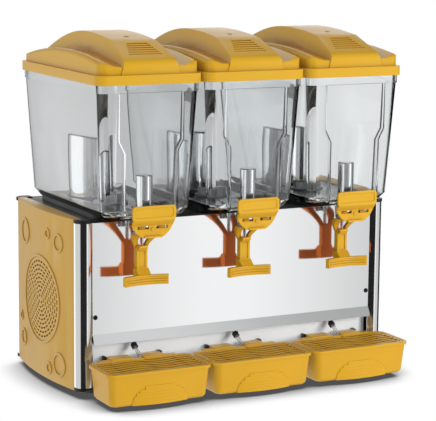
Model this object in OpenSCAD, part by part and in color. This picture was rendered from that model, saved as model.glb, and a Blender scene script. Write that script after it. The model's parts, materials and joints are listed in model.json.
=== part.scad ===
// Cold drink dispenser: three clear bowls over cooled steel cylinders, lever taps,
// hooked drip trays and a refrigerated cabinet.
// Millimetres, +Z up, front towards -Y, origin on the floor under the middle of the machine.
// Heights (_z) are measured from the floor and depths (_y) from the front panel's outer face.

/* [Bowl row] */
// Distance between the centres of neighbouring bowls
bowl_pitch = 205; // [196:1:225]
// Gap between neighbouring lids
lid_gap = 3; // [2:0.5:8]
// Gap between neighbouring drip trays
tray_gap = 4; // [2:0.5:10]
// Gap left between pieces that lift or slide apart
seat_gap = 0.3; // [0.2:0.05:0.6]
// Radial clearance of pins and shafts in their bores
run_gap = 0.06; // [0.03:0.01:0.1]

/* [Cabinet] */
// How far the posts stand outside the space of the outer bowls
cabinet_margin = 7.5; // [5:0.5:20]
// Depth from the front panel to the back of the rear panel
cabinet_d = 300; // [292:1:340]
// Height of the tops of the corner posts
post_top_z = 316; // [300:1:340]
// Height of the rubber feet
foot_h = 12; // [8:1:20]
// Radius of a foot
foot_r = 18; // [12:1:24]
// Distance of the feet from the cabinet's edges
foot_inset = 45; // [36:1:70]
// Thickness of the base pan
pan_t = 2; // [1:0.5:4]
// Height of the upturned wall of the base pan
pan_wall_h = 14; // [8:1:24]
// Width of a corner post across the front
post_w = 29.5; // [24:0.5:36]
// Depth of a corner post along the side
post_d = 14; // [10:0.5:20]
// Wall of a corner post
post_t = 2; // [1:0.5:3]
// Angle of a corner post's curve
post_turn = 120; // [90:2:130]
// Slant of a corner post's curve towards the side
post_slant = 15; // [8:1:20]
// Height of the black post caps
cap_h = 6; // [4:0.5:10]
// How far the post caps stand proud
cap_lip = 1.2; // [0.5:0.1:2]
// Thickness of the steel sheets
sheet_t = 1.5; // [1:0.1:2]
// Height of the crease above the flared drip edge
flap_top_z = 115; // [108:1:125]
// Height of the lower edge of the drip edge
flap_bottom_z = 97; // [95:1:100]
// How far the drip edge stands forward
flap_out = 7.5; // [5:0.5:12]
// Depth at which the lower front panel stands back
kick_y = 14; // [12:0.5:20]
// Height of the front panel's screws
screw_z = 146; // [130:1:200]
// Distance of the screws from the edge of the front panel
screw_inset = 5.2; // [4.5:0.1:12]
// Radius of a screw's head
screw_head_r = 4.4; // [3:0.1:5]
// Thickness of the black deck
deck_t = 4; // [3:0.5:6]
// Height of the raised seat under each bowl
plinth_h = 9; // [8:0.2:16]

/* [Side panels] */
// How far a side panel bulges at mid depth
side_bulge = 13; // [6:0.5:20]
// Wall of a side panel
side_t = 3; // [2:0.5:4]
// Depth of the side panel's returned edges
side_return = 15; // [12:0.5:22]
// Depth of the vent's centre
vent_y = 142; // [125:1:165]
// Height of the vent's centre
vent_z = 157; // [130:1:190]
// Number of slot rings in the vent
vent_rings = 9; // [5:1:10]
// Distance between slot rings
vent_pitch = 7.7; // [7:0.1:8.5]
// Width of a vent slot
vent_slot = 3.2; // [2.4:0.2:4]
// Height of the raised rings on the panel
relief_h = 2; // [1:0.5:3]
// Width of the raised rings
relief_w = 4; // [3:0.5:6]

/* [Rear] */
// Length of the cable gland behind the rear panel
gland_l = 14; // [8:1:24]
// Radius of the cable gland
gland_r = 11; // [8:0.5:14]
// Radius of the cable hole
cable_r = 4; // [3:0.5:6]
// Distance of the rear switches and gland below the tops of the posts
switch_drop = 48; // [34:1:70]
// Width of a rocker switch's opening
rocker_w = 22; // [16:1:26]
// Height of a rocker switch's opening
rocker_h = 26; // [20:1:30]

/* [Cooling] */
// Radius of an evaporator cylinder
evaporator_r = 40; // [34:1:46]
// Depth of the evaporators' centres
evaporator_y = 190; // [175:1:200]
// Height of the evaporators' tops
evaporator_top_z = 458; // [420:1:500]
// Wall of an evaporator
evaporator_t = 2; // [1.5:0.5:3]
// Width of the rubber seal round an evaporator
seal_w = 4; // [3:0.5:6]
// Radius of the compressor's shell
compressor_r = 72; // [60:1:76]
// Height of the compressor's top
compressor_top_z = 186; // [160:1:210]
// Sideways place of the compressor
compressor_x = 120; // [110:1:130]
// Radius of a refrigerant pipe
pipe_r = 5; // [3:0.5:6]
// Height of the pipe that joins the evaporators
header_z = 285; // [270:1:295]
// Thickness of the condenser
condenser_t = 28; // [20:1:34]
// Radius of the condenser fan
fan_r = 62; // [50:1:66]
// Radius of the fan's motor
fan_motor_r = 26; // [18:1:32]
// Length of the fan's motor
fan_motor_l = 44; // [30:1:56]
// Height of the control box
control_h = 60; // [40:1:72]
// Depth of the control box
control_d = 110; // [80:1:130]
// Width of the control box
control_w = 57; // [40:1:70]

/* [Stirring] */
// Depth of the stirrers' axes
stirrer_y = 102; // [85:1:112]
// Radius of a stirrer
stirrer_r = 30; // [22:1:34]
// Height of a stirrer
stirrer_h = 15; // [10:1:20]
// Radius of the stub that carries a stirrer
stub_r = 4; // [3:0.5:5]
// Radius of a stirrer motor
motor_r = 29; // [24:1:34]
// Length of a stirrer motor
motor_l = 50; // [40:1:60]

/* [Bowls] */
// Wall of a bowl
bowl_t = 3.5; // [2.5:0.5:5]
// Height of the bowl's band below the lid
rim_band_h = 14; // [8:1:22]
// How far the rim band stands out from the wall
rim_lip = 1.5; // [1:0.5:3]
// Corner radius of a bowl
bowl_r = 17; // [12:1:22]
// How far the walls draw in from top to bottom
bowl_draft = 11; // [6:0.5:16]
// Height of the slanted bottom edge
base_chamfer_h = 13.5; // [8:0.5:20]
// How far the slanted bottom edge draws in
base_chamfer = 9.5; // [6:0.5:14]
// Depth of the flat front bay, in front of the front panel
bay_front = 71; // [68:0.5:78]
// Half width of the bay's upper part
bay_top_half = 62.5; // [56:0.5:70]
// Half width of the bay's lower part
bay_low_half = 51.5; // [46:0.5:55]
// Height where the bay starts to narrow
bay_shoulder_top_z = 466; // [455:1:500]
// Height where the bay has narrowed
bay_shoulder_low_z = 445; // [415:1:450]
// Slanted front edge under the bay
bay_chamfer = 5; // [3:0.5:8]

/* [Lids] */
// Depth of a lid from front to back
lid_d = 370; // [360:1:380]
// How far the lid reaches in front of the front panel
lid_front = 73; // [72:0.5:78]
// Height of the lid skirt's lower edge
skirt_low_z = 563; // [550:1:580]
// Height of the lid's skirt
skirt_h = 17; // [12:0.5:24]
// Wall of a lid
lid_t = 3; // [2:0.5:4]
// Corner radius of a lid
lid_r = 20; // [14:1:26]
// Gap between the skirt and the bowl's rim
rim_fit = 1; // [0.5:0.1:2]
// How far the dome stands back from the skirt
dome_in = 6; // [4:0.5:9]
// Radius of the dome's front and rear edges
dome_r = 15; // [10:1:20]
// Radius of the dome's side edges
dome_side_r = 9; // [6:0.5:12]
// Depth of the valleys between the dome's side edges and the hump
valley_d = 6; // [3:0.5:8]
// Height of the dome's shoulders at mid depth, above the skirt
shoulder_h = 34.5; // [28:0.5:44]
// How far the shoulders fall to the front
shoulder_drop = 12; // [6:0.5:16]
// How far the shoulders fall to the back
shoulder_rear_drop = 19; // [10:0.5:20]
// Half width of the hump at its foot
hump_foot_half = 57; // [50:0.5:64]
// Half width of the hump at its top
hump_top_half = 38.5; // [34:0.5:46]
// Height of the hump's top above the skirt
hump_h = 63; // [54:1:74]
// Height of the hump's front face above the skirt
hump_front_h = 28; // [22:0.5:32]
// Height above the skirt where the front slope ends
hump_break_h = 53; // [46:0.5:56]
// Depth where the front slope ends
hump_break_y = 0; // [-10:1:10]
// Depth of the hump's highest point
hump_peak_y = 130; // [110:1:150]
// Fall of the hump from its highest point to the back
hump_rear_drop = 43; // [36:1:48]
// Number of ribs in the sloping front panel
panel_ribs = 5; // [3:1:7]
// Depth of the ribbed panel's recess
panel_recess = 2.2; // [0.8:0.1:2.4]
// Depth of the finger grips in the hump's sides
grip_depth = 6; // [3:0.5:7]
// Length of the finger grips, which fade out at both ends
grip_l = 210; // [160:1:230]

/* [Taps] */
// Depth of the lever's pivot in front of the front panel
pivot_front = 66; // [65:0.5:67]
// Height of the lever's pivot
pivot_z = 308; // [306:0.5:310]
// Radius of the pivot pin
pin_r = 2.5; // [2:0.1:3]
// Half length of the pivot pin
pin_half = 34; // [33:0.5:36]
// Radius of the lever's pivot barrel
barrel_r = 6; // [5:0.5:7]
// Half distance between the bowl's two lugs
lug_half = 27; // [26.5:0.5:29]
// Thickness of a lug
lug_t = 4.5; // [3:0.5:5.5]
// Width of the lever's paddle
paddle_w = 82; // [72:1:92]
// Height of the lever's paddle
paddle_h = 26; // [20:1:32]
// Height of the paddle's top
paddle_top_z = 354; // [350:1:360]
// Thickness of the paddle and of the round plate below it
paddle_t = 5; // [4:0.5:6]
// Radius of the round plate
plate_r = 42; // [38:0.5:46]
// Height of the round plate's lower edge
plate_low_z = 297; // [294:0.5:299]
// Width of the lever's stem
stem_w = 20; // [14:1:24]
// Thickness of the lever's stem
stem_t = 12; // [8:0.5:13]
// Distance of the stem's back from the front panel
stem_back = 22; // [21:0.5:25]
// Height of the top of the push bar
bar_top_z = 225; // [215:1:235]
// Height of the push bar
bar_h = 17; // [12:1:24]
// Radius of the push bar's hollow front
bar_r = 109; // [80:1:140]
// Thickness of the push bar
bar_t = 8; // [5:0.5:10]
// Half angle of the push bar's curve
bar_half_angle = 22; // [16:1:26]
// Depth of the push bar's middle in front of the front panel
bar_front = 49; // [46:0.5:52]
// Number of ribs across the push bar
bar_ribs = 3; // [2:1:4]
// Radius of a valve plunger
plunger_r = 14.6; // [12:0.2:15]
// Depth of the plunger's axis in front of the front panel
plunger_front = 40; // [38.5:0.5:41]
// Height of the plunger's top
plunger_top_z = 403; // [380:1:430]
// Wall of a plunger
plunger_t = 1.5; // [1:0.5:2]
// Radius of the plunger's rod
rod_r = 3; // [2.5:0.1:3.5]
// Depth of the rod's axis in front of the front panel
rod_front = 31; // [30.5:0.5:32]
// Height of the lever's pad that lifts the rod
pad_z = 276; // [274:0.5:278]
// Thickness of the rubber disc under a plunger
valve_seal_t = 3.2; // [2:0.2:5]
// Depth of the spout's axis in front of the front panel
spout_front = 47; // [46.5:0.5:48]
// Inner radius of the spout
spout_r = 7; // [5:0.5:7]
// Wall of the spout and of the rod's guide
spout_t = 3; // [2:0.5:3.5]
// Height of the spout's mouth
spout_low_z = 298; // [296:0.5:304]

/* [Drip trays] */
// How far a tray reaches in front of the front panel
tray_front = 117; // [105:1:130]
// Distance of the tray's back edge from the front panel
tray_back = 18; // [15:0.5:22]
// Height of a tray's rim
tray_rim_z = 69; // [66:0.5:71]
// Height of the tray's floor above the ground
tray_low_z = 10; // [6:0.5:14]
// Wall of a tray
tray_t = 2.5; // [2:0.5:3.5]
// Corner radius of a tray
tray_r = 12; // [11:1:18]
// Height of a tray's rolled rim
tray_rim_h = 5; // [3:0.5:8]
// How far the rim stands out from the wall
tray_lip = 3; // [2:0.5:4]
// How far the tray's walls draw in to the floor
tray_draft = 4.5; // [3:0.5:8]
// Half width of the tray's rear tongues
tongue_half = 52; // [46:1:60]
// Half width of the step in front of the tongues
step_half = 74; // [66:1:80]
// Half width of the notch for the drain tube
notch_half = 11; // [9:0.5:14]
// How far the tongues reach behind the front panel's plane
tongue_reach = 7; // [5:0.5:9]
// Half width of the arched swelling on the tray's front
belly_half = 53; // [45:1:65]
// Height of the swelling
belly_h = 33; // [24:1:38]
// Number of steps in the swelling
belly_steps = 6; // [4:1:8]
// How far each step stands back from the one below
belly_step = 0.7; // [0.3:0.1:0.9]
// Number of slats in a tray's grid
grid_slats = 6; // [4:1:8]
// Height of the waves in the slats
wave_h = 5; // [1:0.2:6]
// Width of a slat
slat_w = 5; // [4:0.2:6]
// Thickness of the grid
grid_t = 5; // [4:0.5:6]
// Height of the ledge under the grid
ledge_h = 3; // [2:0.5:4]
// Width of the ledge under the grid
ledge_w = 3; // [2:0.5:4]

/* [Drains] */
// Outer radius of a drain tube
drain_r = 4; // [3:0.5:4.5]
// Bore of a drain tube
drain_bore_r = 2.6; // [2:0.1:2.9]
// Depth of the drains behind the front panel
drain_y = 6.5; // [6.2:0.1:7]
// Height of the grommet's lower end, where a drain bends
drain_bend_z = 97; // [96:0.5:98]
// Radius of the bend
drain_bend_r = 8; // [6:0.5:9]
// Slant of the drain's end from the upright
drain_tilt = 60; // [58:1:66]
// Length of the drain's slanted end
drain_slant = 31; // [29:0.5:32]
// Wall of the black sleeve on the slanted end
sleeve_t = 1.8; // [1:0.2:2.4]
// Length of the black sleeve
sleeve_l = 9; // [6:0.5:12]

/* [Hidden] */

$fn = 64;
hull_fn = 32;
thin = 0.01;
over = 1;

yellow = "#e2a92c";
tan = "#d9a04e";
steel = "#d4d7da";
chrome = "#c4c8cc";
black = "#1c1c1e";
clear = [0.86, 0.9, 0.93, 0.35];

bowl_places = [-1, 0, 1] * bowl_pitch;
half_w = 1.5 * bowl_pitch + cabinet_margin;
pan_z = foot_h + pan_t;
side_top_z = post_top_z + cap_h;
deck_z = post_top_z + deck_t;
plinth_z = deck_z + plinth_h;
panel_half = half_w - post_w;
side_in_x = half_w - side_return;
front_reach = tray_front;
back_reach = cabinet_d + gland_l;
panel_y = (front_reach - back_reach) / 2;

bowl_low_z = plinth_z + seat_gap;
floor_z = bowl_low_z + bowl_t + 0.5;
chamfer_z = bowl_low_z + base_chamfer_h;
lid_w = bowl_pitch - lid_gap;
lid_y = -lid_front;
lid_seat_z = skirt_low_z + skirt_h;
rim_top_z = lid_seat_z - lid_t - seat_gap;
rim_low_z = skirt_low_z - rim_band_h;
rim_inset = lid_t + rim_fit;
wall_inset = rim_inset + rim_lip;

pivot_y = -pivot_front;
plunger_y = -plunger_front;
rod_y = -rod_front;
spout_y = -spout_front;
tray_w = bowl_pitch - tray_gap;
tray_d = tray_front - tray_back;
tray_mid_y = -(tray_front + tray_back) / 2;

fan_x = -panel_half + condenser_t + 34;
condenser_x = -panel_half + 1;
condenser_y = [60, 245];
condenser_top_z = 228;
pipe_y = 238;
shaft_r = 3;
rocker_x = [panel_half - 90, panel_half - 53];
gland_x = 50 - panel_half;
switch_z = post_top_z - switch_drop;
rear_y = cabinet_d - sheet_t;

// Points on an arc, from angle a to angle b
function arc(c, r, a, b, n) =
    [for (k = [0 : n]) let (t = a + (b - a) * k / n) c + r * [cos(t), sin(t)]];

// Moves depths measured from the front panel into the machine's frame
module in_frame() {
    translate([0, panel_y, 0]) children();
}

// The place of one bowl, 0 to 2 from the left
module at_bowl(i) {
    in_frame() translate([bowl_places[i], 0, 0]) children();
}

// A flat outline in depth and height, extruded along X about the middle
module along_x(length) {
    rotate([90, 0, 90]) translate([0, 0, -length / 2]) linear_extrude(length) children();
}

// A flat outline in width and height, extruded from depth a to depth b
module between_y(a, b) {
    translate([0, b, 0]) rotate([90, 0, 0]) linear_extrude(b - a) children();
}

module block(low, high) {
    translate(low) cube(high - low);
}

module rounded(w, d, r) {
    square([w - 2 * r, d], center = true);
    square([w, d - 2 * r], center = true);
    for (sx = [-1, 1], sy = [-1, 1]) translate([sx * (w / 2 - r), sy * (d / 2 - r)]) circle(r);
}

// A cylinder lying along X
module x_cylinder(r, length) {
    rotate([0, 90, 0]) cylinder(r = r, h = length, center = true);
}

// Cabinet

module base_pan() {
    color(black) in_frame() {
        translate([0, cabinet_d / 2, foot_h]) linear_extrude(pan_t)
            rounded(2 * (half_w - cap_lip), cabinet_d - 2 * cap_lip, post_d + 6);
        difference() {
            block([-panel_half + 2, kick_y + 5, foot_h + pan_t / 2],
                  [panel_half - 2, cabinet_d - post_d - 5, pan_z + pan_wall_h]);
            block([-panel_half + 2 + pan_t, kick_y + 5 + pan_t, foot_h],
                  [panel_half - 2 - pan_t, cabinet_d - post_d - 5 - pan_t, pan_z + pan_wall_h + over]);
        }
    }
}

module feet() {
    color("#2a2a2a") in_frame()
        for (x = [-half_w + foot_inset, half_w - foot_inset], y = [foot_inset, cabinet_d - foot_inset])
            translate([x, y, 0]) rotate_extrude()
                polygon([[0, 0], [foot_r - 3, 0], [foot_r, 3], [foot_r, foot_h], [0, foot_h]]);
}

// Column that closes a front corner, seen from above, growing right and back
module post_outline(r_extra, fill) {
    post_r = post_w / cos(post_slant) / (2 * sin(post_turn / 2));
    sink = post_r * cos(post_turn / 2);
    middle = [post_w / 2 - sink * sin(post_slant), post_w / 2 * tan(post_slant) + sink * cos(post_slant)];
    difference() {
        intersection() {
            translate([0, -post_d]) square([post_w + r_extra, 2 * post_d]);
            translate(middle) circle(post_r + r_extra, $fn = 128);
        }
        if (!fill) translate(middle) circle(post_r - post_t, $fn = 128);
    }
}

module post_places(front, rear) {
    for (sx = [-1, 1]) scale_mirror_x(sx) {
        if (front) translate([panel_half, 0, 0]) children();
        if (rear) translate([panel_half, cabinet_d, 0]) mirror([0, 1, 0]) children();
    }
}

module scale_mirror_x(sx) {
    if (sx < 0) mirror([1, 0, 0]) children();
    else children();
}

module posts(front, rear) {
    color(chrome) in_frame() post_places(front, rear)
        translate([0, 0, pan_z + cap_h]) linear_extrude(post_top_z - pan_z - cap_h) post_outline(0, false);
}

module front_posts() {
    posts(true, false);
}

module rear_posts() {
    posts(false, true);
}

module post_top_caps() {
    color(black) in_frame() post_places(true, true)
        translate([0, 0, post_top_z]) linear_extrude(cap_h) post_outline(cap_lip, true);
}

module post_foot_caps() {
    color(black) in_frame() post_places(true, true)
        translate([0, 0, pan_z]) linear_extrude(cap_h) post_outline(cap_lip, true);
}

module front_panel() {
    color(steel) in_frame() difference() {
        along_x(2 * panel_half) polygon([
            [0, post_top_z], [0, flap_top_z], [-flap_out, flap_bottom_z],
            [sheet_t - flap_out, flap_bottom_z], [sheet_t, flap_top_z], [sheet_t, post_top_z]]);
        for (sx = [-1, 1]) translate([sx * (panel_half - screw_inset), -over, screw_z])
            rotate([-90, 0, 0]) cylinder(r = screw_head_r / 2, h = sheet_t + 2 * over);
    }
}

module panel_screws() {
    color(black) in_frame() for (sx = [-1, 1])
        translate([sx * (panel_half - screw_inset), 0, screw_z]) rotate([-90, 0, 0]) rotate_extrude()
            polygon(concat([[0, 10], [0, -3]], arc([0, 0], 3, -90, -70, 2),
                [[screw_head_r - 0.6, -2], [screw_head_r, 0], [screw_head_r / 2, 0], [screw_head_r / 2, 10]]));
}

module kick_panel() {
    flange_z = flap_bottom_z + 2;
    color(steel) in_frame() difference() {
        union() {
            block([-panel_half, kick_y, pan_z], [panel_half, kick_y + sheet_t, flange_z + sheet_t]);
            block([-panel_half, sheet_t - flap_out * 0.5, flange_z],
                  [panel_half, kick_y + sheet_t, flange_z + sheet_t]);
        }
        for (x = bowl_places) translate([x, drain_y, flange_z - over])
            cylinder(r = drain_r + 2, h = sheet_t + 2 * over);
    }
}

module rear_panel() {
    slot_w = 120;
    color(steel) in_frame() difference() {
        block([-panel_half, rear_y, pan_z], [panel_half, cabinet_d, post_top_z]);
        for (x = [-150, 60], k = [0 : 9]) translate([x, rear_y, 60 + 13 * k])
            between_y(-over, sheet_t + over) {
                square([slot_w - 6, 6], center = true);
                for (sx = [-1, 1]) translate([sx * (slot_w / 2 - 3), 0]) circle(3);
            }
        for (x = rocker_x) block([x - rocker_w / 2, rear_y - over, switch_z - rocker_h / 2],
                                 [x + rocker_w / 2, cabinet_d + over, switch_z + rocker_h / 2]);
        translate([gland_x, rear_y - over, switch_z]) rotate([-90, 0, 0])
            cylinder(r = gland_r - 3, h = sheet_t + 2 * over);
    }
}

module cable_gland() {
    color(black) in_frame() translate([gland_x, rear_y - 8, switch_z]) rotate([-90, 0, 0]) difference() {
        union() {
            cylinder(r = gland_r - 3, h = 8 + sheet_t);
            cylinder(r = gland_r, h = 8);
            translate([0, 0, 8 + sheet_t]) cylinder(r1 = gland_r, r2 = gland_r - 4, h = gland_l);
        }
        translate([0, 0, -over]) cylinder(r = cable_r, h = gland_l + 8 + sheet_t + 2 * over);
    }
}

module switch_bezels() {
    color(black) in_frame() for (x = rocker_x) translate([x, 0, switch_z]) difference() {
        union() {
            between_y(cabinet_d, cabinet_d + 2) rounded(rocker_w + 6, rocker_h + 6, 2);
            between_y(rear_y - 14, cabinet_d) square([rocker_w, rocker_h], center = true);
        }
        between_y(rear_y - 12, cabinet_d + 2 + over) square([rocker_w - 3, rocker_h - 3], center = true);
    }
}

module rocker(x, tint) {
    color(tint) in_frame() translate([x, cabinet_d - 4, switch_z]) intersection() {
        along_x(rocker_w - 4.2) difference() {
            intersection() {
                circle(rocker_h / 2 - 2.1);
                translate([-6, -rocker_h]) square([14, 2 * rocker_h]);
            }
            translate([22.5, 0]) circle(16.5);
        }
        cube(60, center = true);
    }
}

module cooling_rocker() {
    rocker(rocker_x[0], "#b32020");
}

module stirring_rocker() {
    rocker(rocker_x[1], "#2f7d3a");
}

// Bulged side panel on the right, with its vent and raised rings

side_chord = cabinet_d / 2 - post_d - seat_gap;
side_r = (side_chord * side_chord + side_bulge * side_bulge) / (2 * side_bulge);
side_mid_x = half_w + side_bulge - side_r;

module side_slab(r, inset, low_z, high_z) {
    intersection() {
        translate([side_mid_x, cabinet_d / 2, low_z]) cylinder(r = r, h = high_z - low_z, $fn = 256);
        block([side_in_x, post_d + seat_gap + inset, low_z],
              [half_w + side_bulge + relief_h + over, cabinet_d - post_d - seat_gap - inset, high_z]);
    }
}

// Pierces a side panel with the shape drawn in depth and height about a point
module side_pierce(y, z) {
    translate([side_in_x - over, y, z]) rotate([90, 0, 90])
        linear_extrude(side_return + side_bulge + relief_h + 3) children();
}

module ring_shape(r) {
    difference() {
        circle(r + relief_w / 2);
        circle(r - relief_w / 2);
    }
}

vent_edge_r = (vent_rings + 0.8) * vent_pitch;
// Depth, height and radius of each raised ring
bubbles = [
    [66, 272, 15], [108, 283, 8], [222, 270, 22], [236, 66, 14],
    [64, 50, 20], [104, 36, 9], [252, 104, 7]];

module side_panel() {
    low = pan_z;
    difference() {
        union() {
            side_slab(side_r, 0, low, side_top_z);
            intersection() {
                side_slab(side_r + relief_h, relief_w, low + side_t, side_top_z - side_t);
                union() {
                    side_pierce(vent_y, vent_z) ring_shape(vent_edge_r + relief_w);
                    for (b = bubbles) side_pierce(b[0], b[1]) ring_shape(b[2]);
                }
            }
        }
        translate([-over, 0, 0]) side_slab(side_r - side_t, side_t, low + side_t, side_top_z - side_t);
        for (ring = [1 : vent_rings]) for (k = [1 : 4 * ring]) {
            step = 90 / ring;
            side_pierce(vent_y, vent_z) rotate((k + ring / 2) * step) vent_arc(ring * vent_pitch, step * 0.66);
        }
    }
}

// One arc of a slot ring, as wide as the slot
module vent_arc(r, angle) {
    intersection() {
        difference() {
            circle(r + vent_slot / 2);
            circle(r - vent_slot / 2);
        }
        polygon([[0, 0], 2 * r * [cos(angle / 2), -sin(angle / 2)], 2.4 * r * [1, 0],
                 2 * r * [cos(angle / 2), sin(angle / 2)]]);
    }
}

module right_side_panel() {
    color(tan) in_frame() side_panel();
}

module left_side_panel() {
    color(tan) in_frame() mirror([1, 0, 0]) side_panel();
}

// Deck and cooling

module top_deck() {
    lip = 3;
    strip = post_d + cap_lip + seat_gap;
    plinth_w = 2 * (lid_w / 2 - wall_inset - bowl_draft - base_chamfer) - 4;
    color(black) in_frame() difference() {
        union() {
            block([-panel_half + cap_lip, -lip, post_top_z], [panel_half - cap_lip, cabinet_d, deck_z]);
            block([-side_in_x, strip, post_top_z], [side_in_x, cabinet_d - strip, deck_z]);
            for (x = bowl_places) translate([x, (4 + plinth_back()) / 2, post_top_z])
                linear_extrude(deck_t + plinth_h) rounded(plinth_w, plinth_back() - 4, bowl_r - 2);
        }
        for (x = bowl_places) translate([x, evaporator_y, post_top_z - over])
            cylinder(r = pipe_r + 3, h = deck_t + plinth_h + 2 * over);
    }
}

function plinth_back() = lid_y + lid_d - wall_inset - bowl_draft - base_chamfer - 3;

module evaporator(i) {
    r = evaporator_r;
    top = evaporator_top_z;
    color(steel) at_bowl(i) translate([0, evaporator_y, 0]) rotate_extrude()
        polygon(concat(
            [[r - evaporator_t, plinth_z], [r, plinth_z]],
            arc([r - 5, top - 5], 5, 0, 90, 6), [[0, top]],
            [[0, top - evaporator_t], [r - 5, top - evaporator_t]],
            arc([r - 5, top - 5], 5 - evaporator_t, 90, 0, 4)));
}

module evaporator_seals() {
    color("#3a3a3c") in_frame() for (x = bowl_places) translate([x, evaporator_y, plinth_z])
        rotate_extrude() polygon([[evaporator_r, 0], [evaporator_r + seal_w, 0],
            [evaporator_r + seal_w, bowl_t], [evaporator_r + 1.5, bowl_t + 3], [evaporator_r, bowl_t + 3]]);
}

module stirrer_motors() {
    color("#8d9094") in_frame() for (x = bowl_places) translate([x, stirrer_y, post_top_z]) {
        translate([0, 0, -motor_l]) cylinder(r = motor_r, h = motor_l - 4);
        translate([0, 0, -4]) cylinder(r = motor_r + 5, h = 4);
        translate([0, 0, -motor_l - 6]) cylinder(r = 9, h = 7);
    }
}

module compressor() {
    r = compressor_r;
    top = compressor_top_z;
    low = pan_z + 10;
    color("#26282a") in_frame() translate([compressor_x, evaporator_y, 0]) {
        rotate_extrude() polygon(concat(
            [[r - 3, low], [r + 5, low], [r + 5, low + 4], [r, low + 4]],
            arc([r - 40, top - 40], 40, 0, 90, 10), [[0, top], [0, top - 4], [r - 40, top - 4]],
            arc([r - 40, top - 40], 36, 90, 0, 10)));
        translate([0, 0, top - 2]) cylinder(r = pipe_r + 2, h = 8);
        for (a = [30 : 120 : 270]) rotate(a) translate([r + 2, 0, pan_z]) cylinder(r = 9, h = 12);
    }
}

module refrigerant_pipes() {
    color("#b87333") in_frame() {
        translate([0, evaporator_y, header_z]) x_cylinder(pipe_r, 2 * bowl_pitch);
        for (x = bowl_places) translate([x, evaporator_y, header_z]) {
            sphere(pipe_r);
            cylinder(r = pipe_r, h = evaporator_top_z - header_z - 30);
        }
        translate([compressor_x, evaporator_y, compressor_top_z + 6])
            cylinder(r = pipe_r, h = header_z - compressor_top_z - 6);
        difference() {
            block_pipe(condenser_x + condenser_t, compressor_x, pipe_y, 70);
            translate([compressor_x, evaporator_y, 0]) cylinder(r = compressor_r, h = 140);
        }
    }
}

module block_pipe(x0, x1, y, z) {
    translate([x0, y, z]) rotate([0, 90, 0]) cylinder(r = pipe_r, h = x1 - x0);
}

module condenser() {
    fin_step = 9;
    fins = floor((condenser_y[1] - condenser_y[0] - 6) / fin_step);
    color("#9aa0a4") in_frame() translate([condenser_x, condenser_y[0], 0]) {
        for (k = [0 : fins]) block([0, k * fin_step, pan_z + pan_wall_h + 2],
                                   [condenser_t, k * fin_step + 1.2, condenser_top_z]);
        for (y = [0, condenser_y[1] - condenser_y[0] - 13])
            block([1, y, pan_z + pan_wall_h], [condenser_t, y + 13, condenser_top_z]);
        for (k = [0 : 6]) translate([condenser_t / 2, 0, 50 + 26 * k]) rotate([-90, 0, 0])
            cylinder(r = 4.5, h = condenser_y[1] - condenser_y[0] - 1);
    }
}

fan_y = 142;
fan_z = 128;
fan_plate = fan_r + 16;
shroud_x = condenser_x + condenser_t + 2;

module fan_shroud() {
    color("#2c2e30") in_frame() difference() {
        union() {
            block([shroud_x, fan_y - fan_plate, pan_z], [shroud_x + 3, fan_y + fan_plate, fan_z + fan_plate]);
            translate([shroud_x + 9, fan_y, fan_z]) x_cylinder(fan_r + 7, 18);
        }
        translate([shroud_x, fan_y, fan_z]) x_cylinder(fan_r + 4, fan_r);
    }
}

module fan_motor() {
    back = fan_x + fan_motor_l / 2 + 11;
    color("#6d7175") in_frame() {
        translate([back, fan_y, fan_z]) x_cylinder(fan_motor_r, fan_motor_l);
        translate([fan_x + 3, fan_y, fan_z]) x_cylinder(shaft_r, 40);
        block([back - 10, fan_y - 16, pan_z], [back + 10, fan_y + 16, fan_z]);
    }
}

module fan_blades() {
    color("#d8dadd") in_frame() translate([fan_x, fan_y, fan_z]) difference() {
        intersection() {
            union() {
                x_cylinder(16, 12);
                for (k = [0 : 4]) rotate([72 * k, 0, 0]) translate([0, 0, 12]) rotate([0, 0, 28])
                    block([-1, -16, 0], [1, 16, fan_r]);
            }
            x_cylinder(fan_r, 18);
        }
        x_cylinder(shaft_r + run_gap, 40);
    }
}

module control_box() {
    top = switch_z - rocker_h / 2 - 5;
    color("#55595d") in_frame() block([panel_half - 4 - control_w, rear_y - control_d, top - control_h],
                                      [panel_half - 4, rear_y, top]);
}

// Drains and tray hooks

module drain_grommets() {
    flange_z = flap_bottom_z + 2;
    color(black) in_frame() for (x = bowl_places) {
        translate([x, drain_y, 0]) difference() {
            union() {
                translate([0, 0, drain_bend_z]) cylinder(r = drain_r + 3, h = flange_z - drain_bend_z);
                translate([0, 0, flange_z - thin]) cylinder(r = drain_r + 2, h = sheet_t + 2);
            }
            translate([0, 0, drain_bend_z - over]) cylinder(r = drain_r + run_gap, h = flange_z);
        }
        on_drain_slant(x) linear_extrude(sleeve_l) difference() {
            circle(drain_r + sleeve_t);
            circle(drain_r + run_gap);
        }
    }
}

// The start of a drain's slanted run, along +Z
module on_drain_slant(x) {
    translate([x, drain_y - drain_bend_r, drain_bend_z]) rotate([0, -90, 0]) rotate(90 + drain_tilt)
        translate([drain_bend_r, 0, 0]) rotate([-90, 0, 0]) children();
}

// Wall of a drain, seen along it
module drain_ring() {
    difference() {
        circle(drain_r);
        circle(drain_bore_r);
    }
}

// An upright run, a bend and a slanted run to the open end
module drain_tubes() {
    color(clear) in_frame() for (x = bowl_places) {
        translate([x, drain_y, drain_bend_z + thin]) linear_extrude(post_top_z - drain_bend_z - thin) drain_ring();
        translate([x, drain_y - drain_bend_r, drain_bend_z]) rotate([0, -90, 0]) rotate(90)
            rotate_extrude(angle = drain_tilt) translate([drain_bend_r, 0]) drain_ring();
        on_drain_slant(x) translate([0, 0, thin]) linear_extrude(drain_slant) drain_ring();
    }
}

tongue_low_z = tray_rim_z - 2.7;
grid_seat_z = tray_rim_z - grid_t - seat_gap - 0.2;
ledge_in = tray_lip + tray_t + ledge_w;

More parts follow.
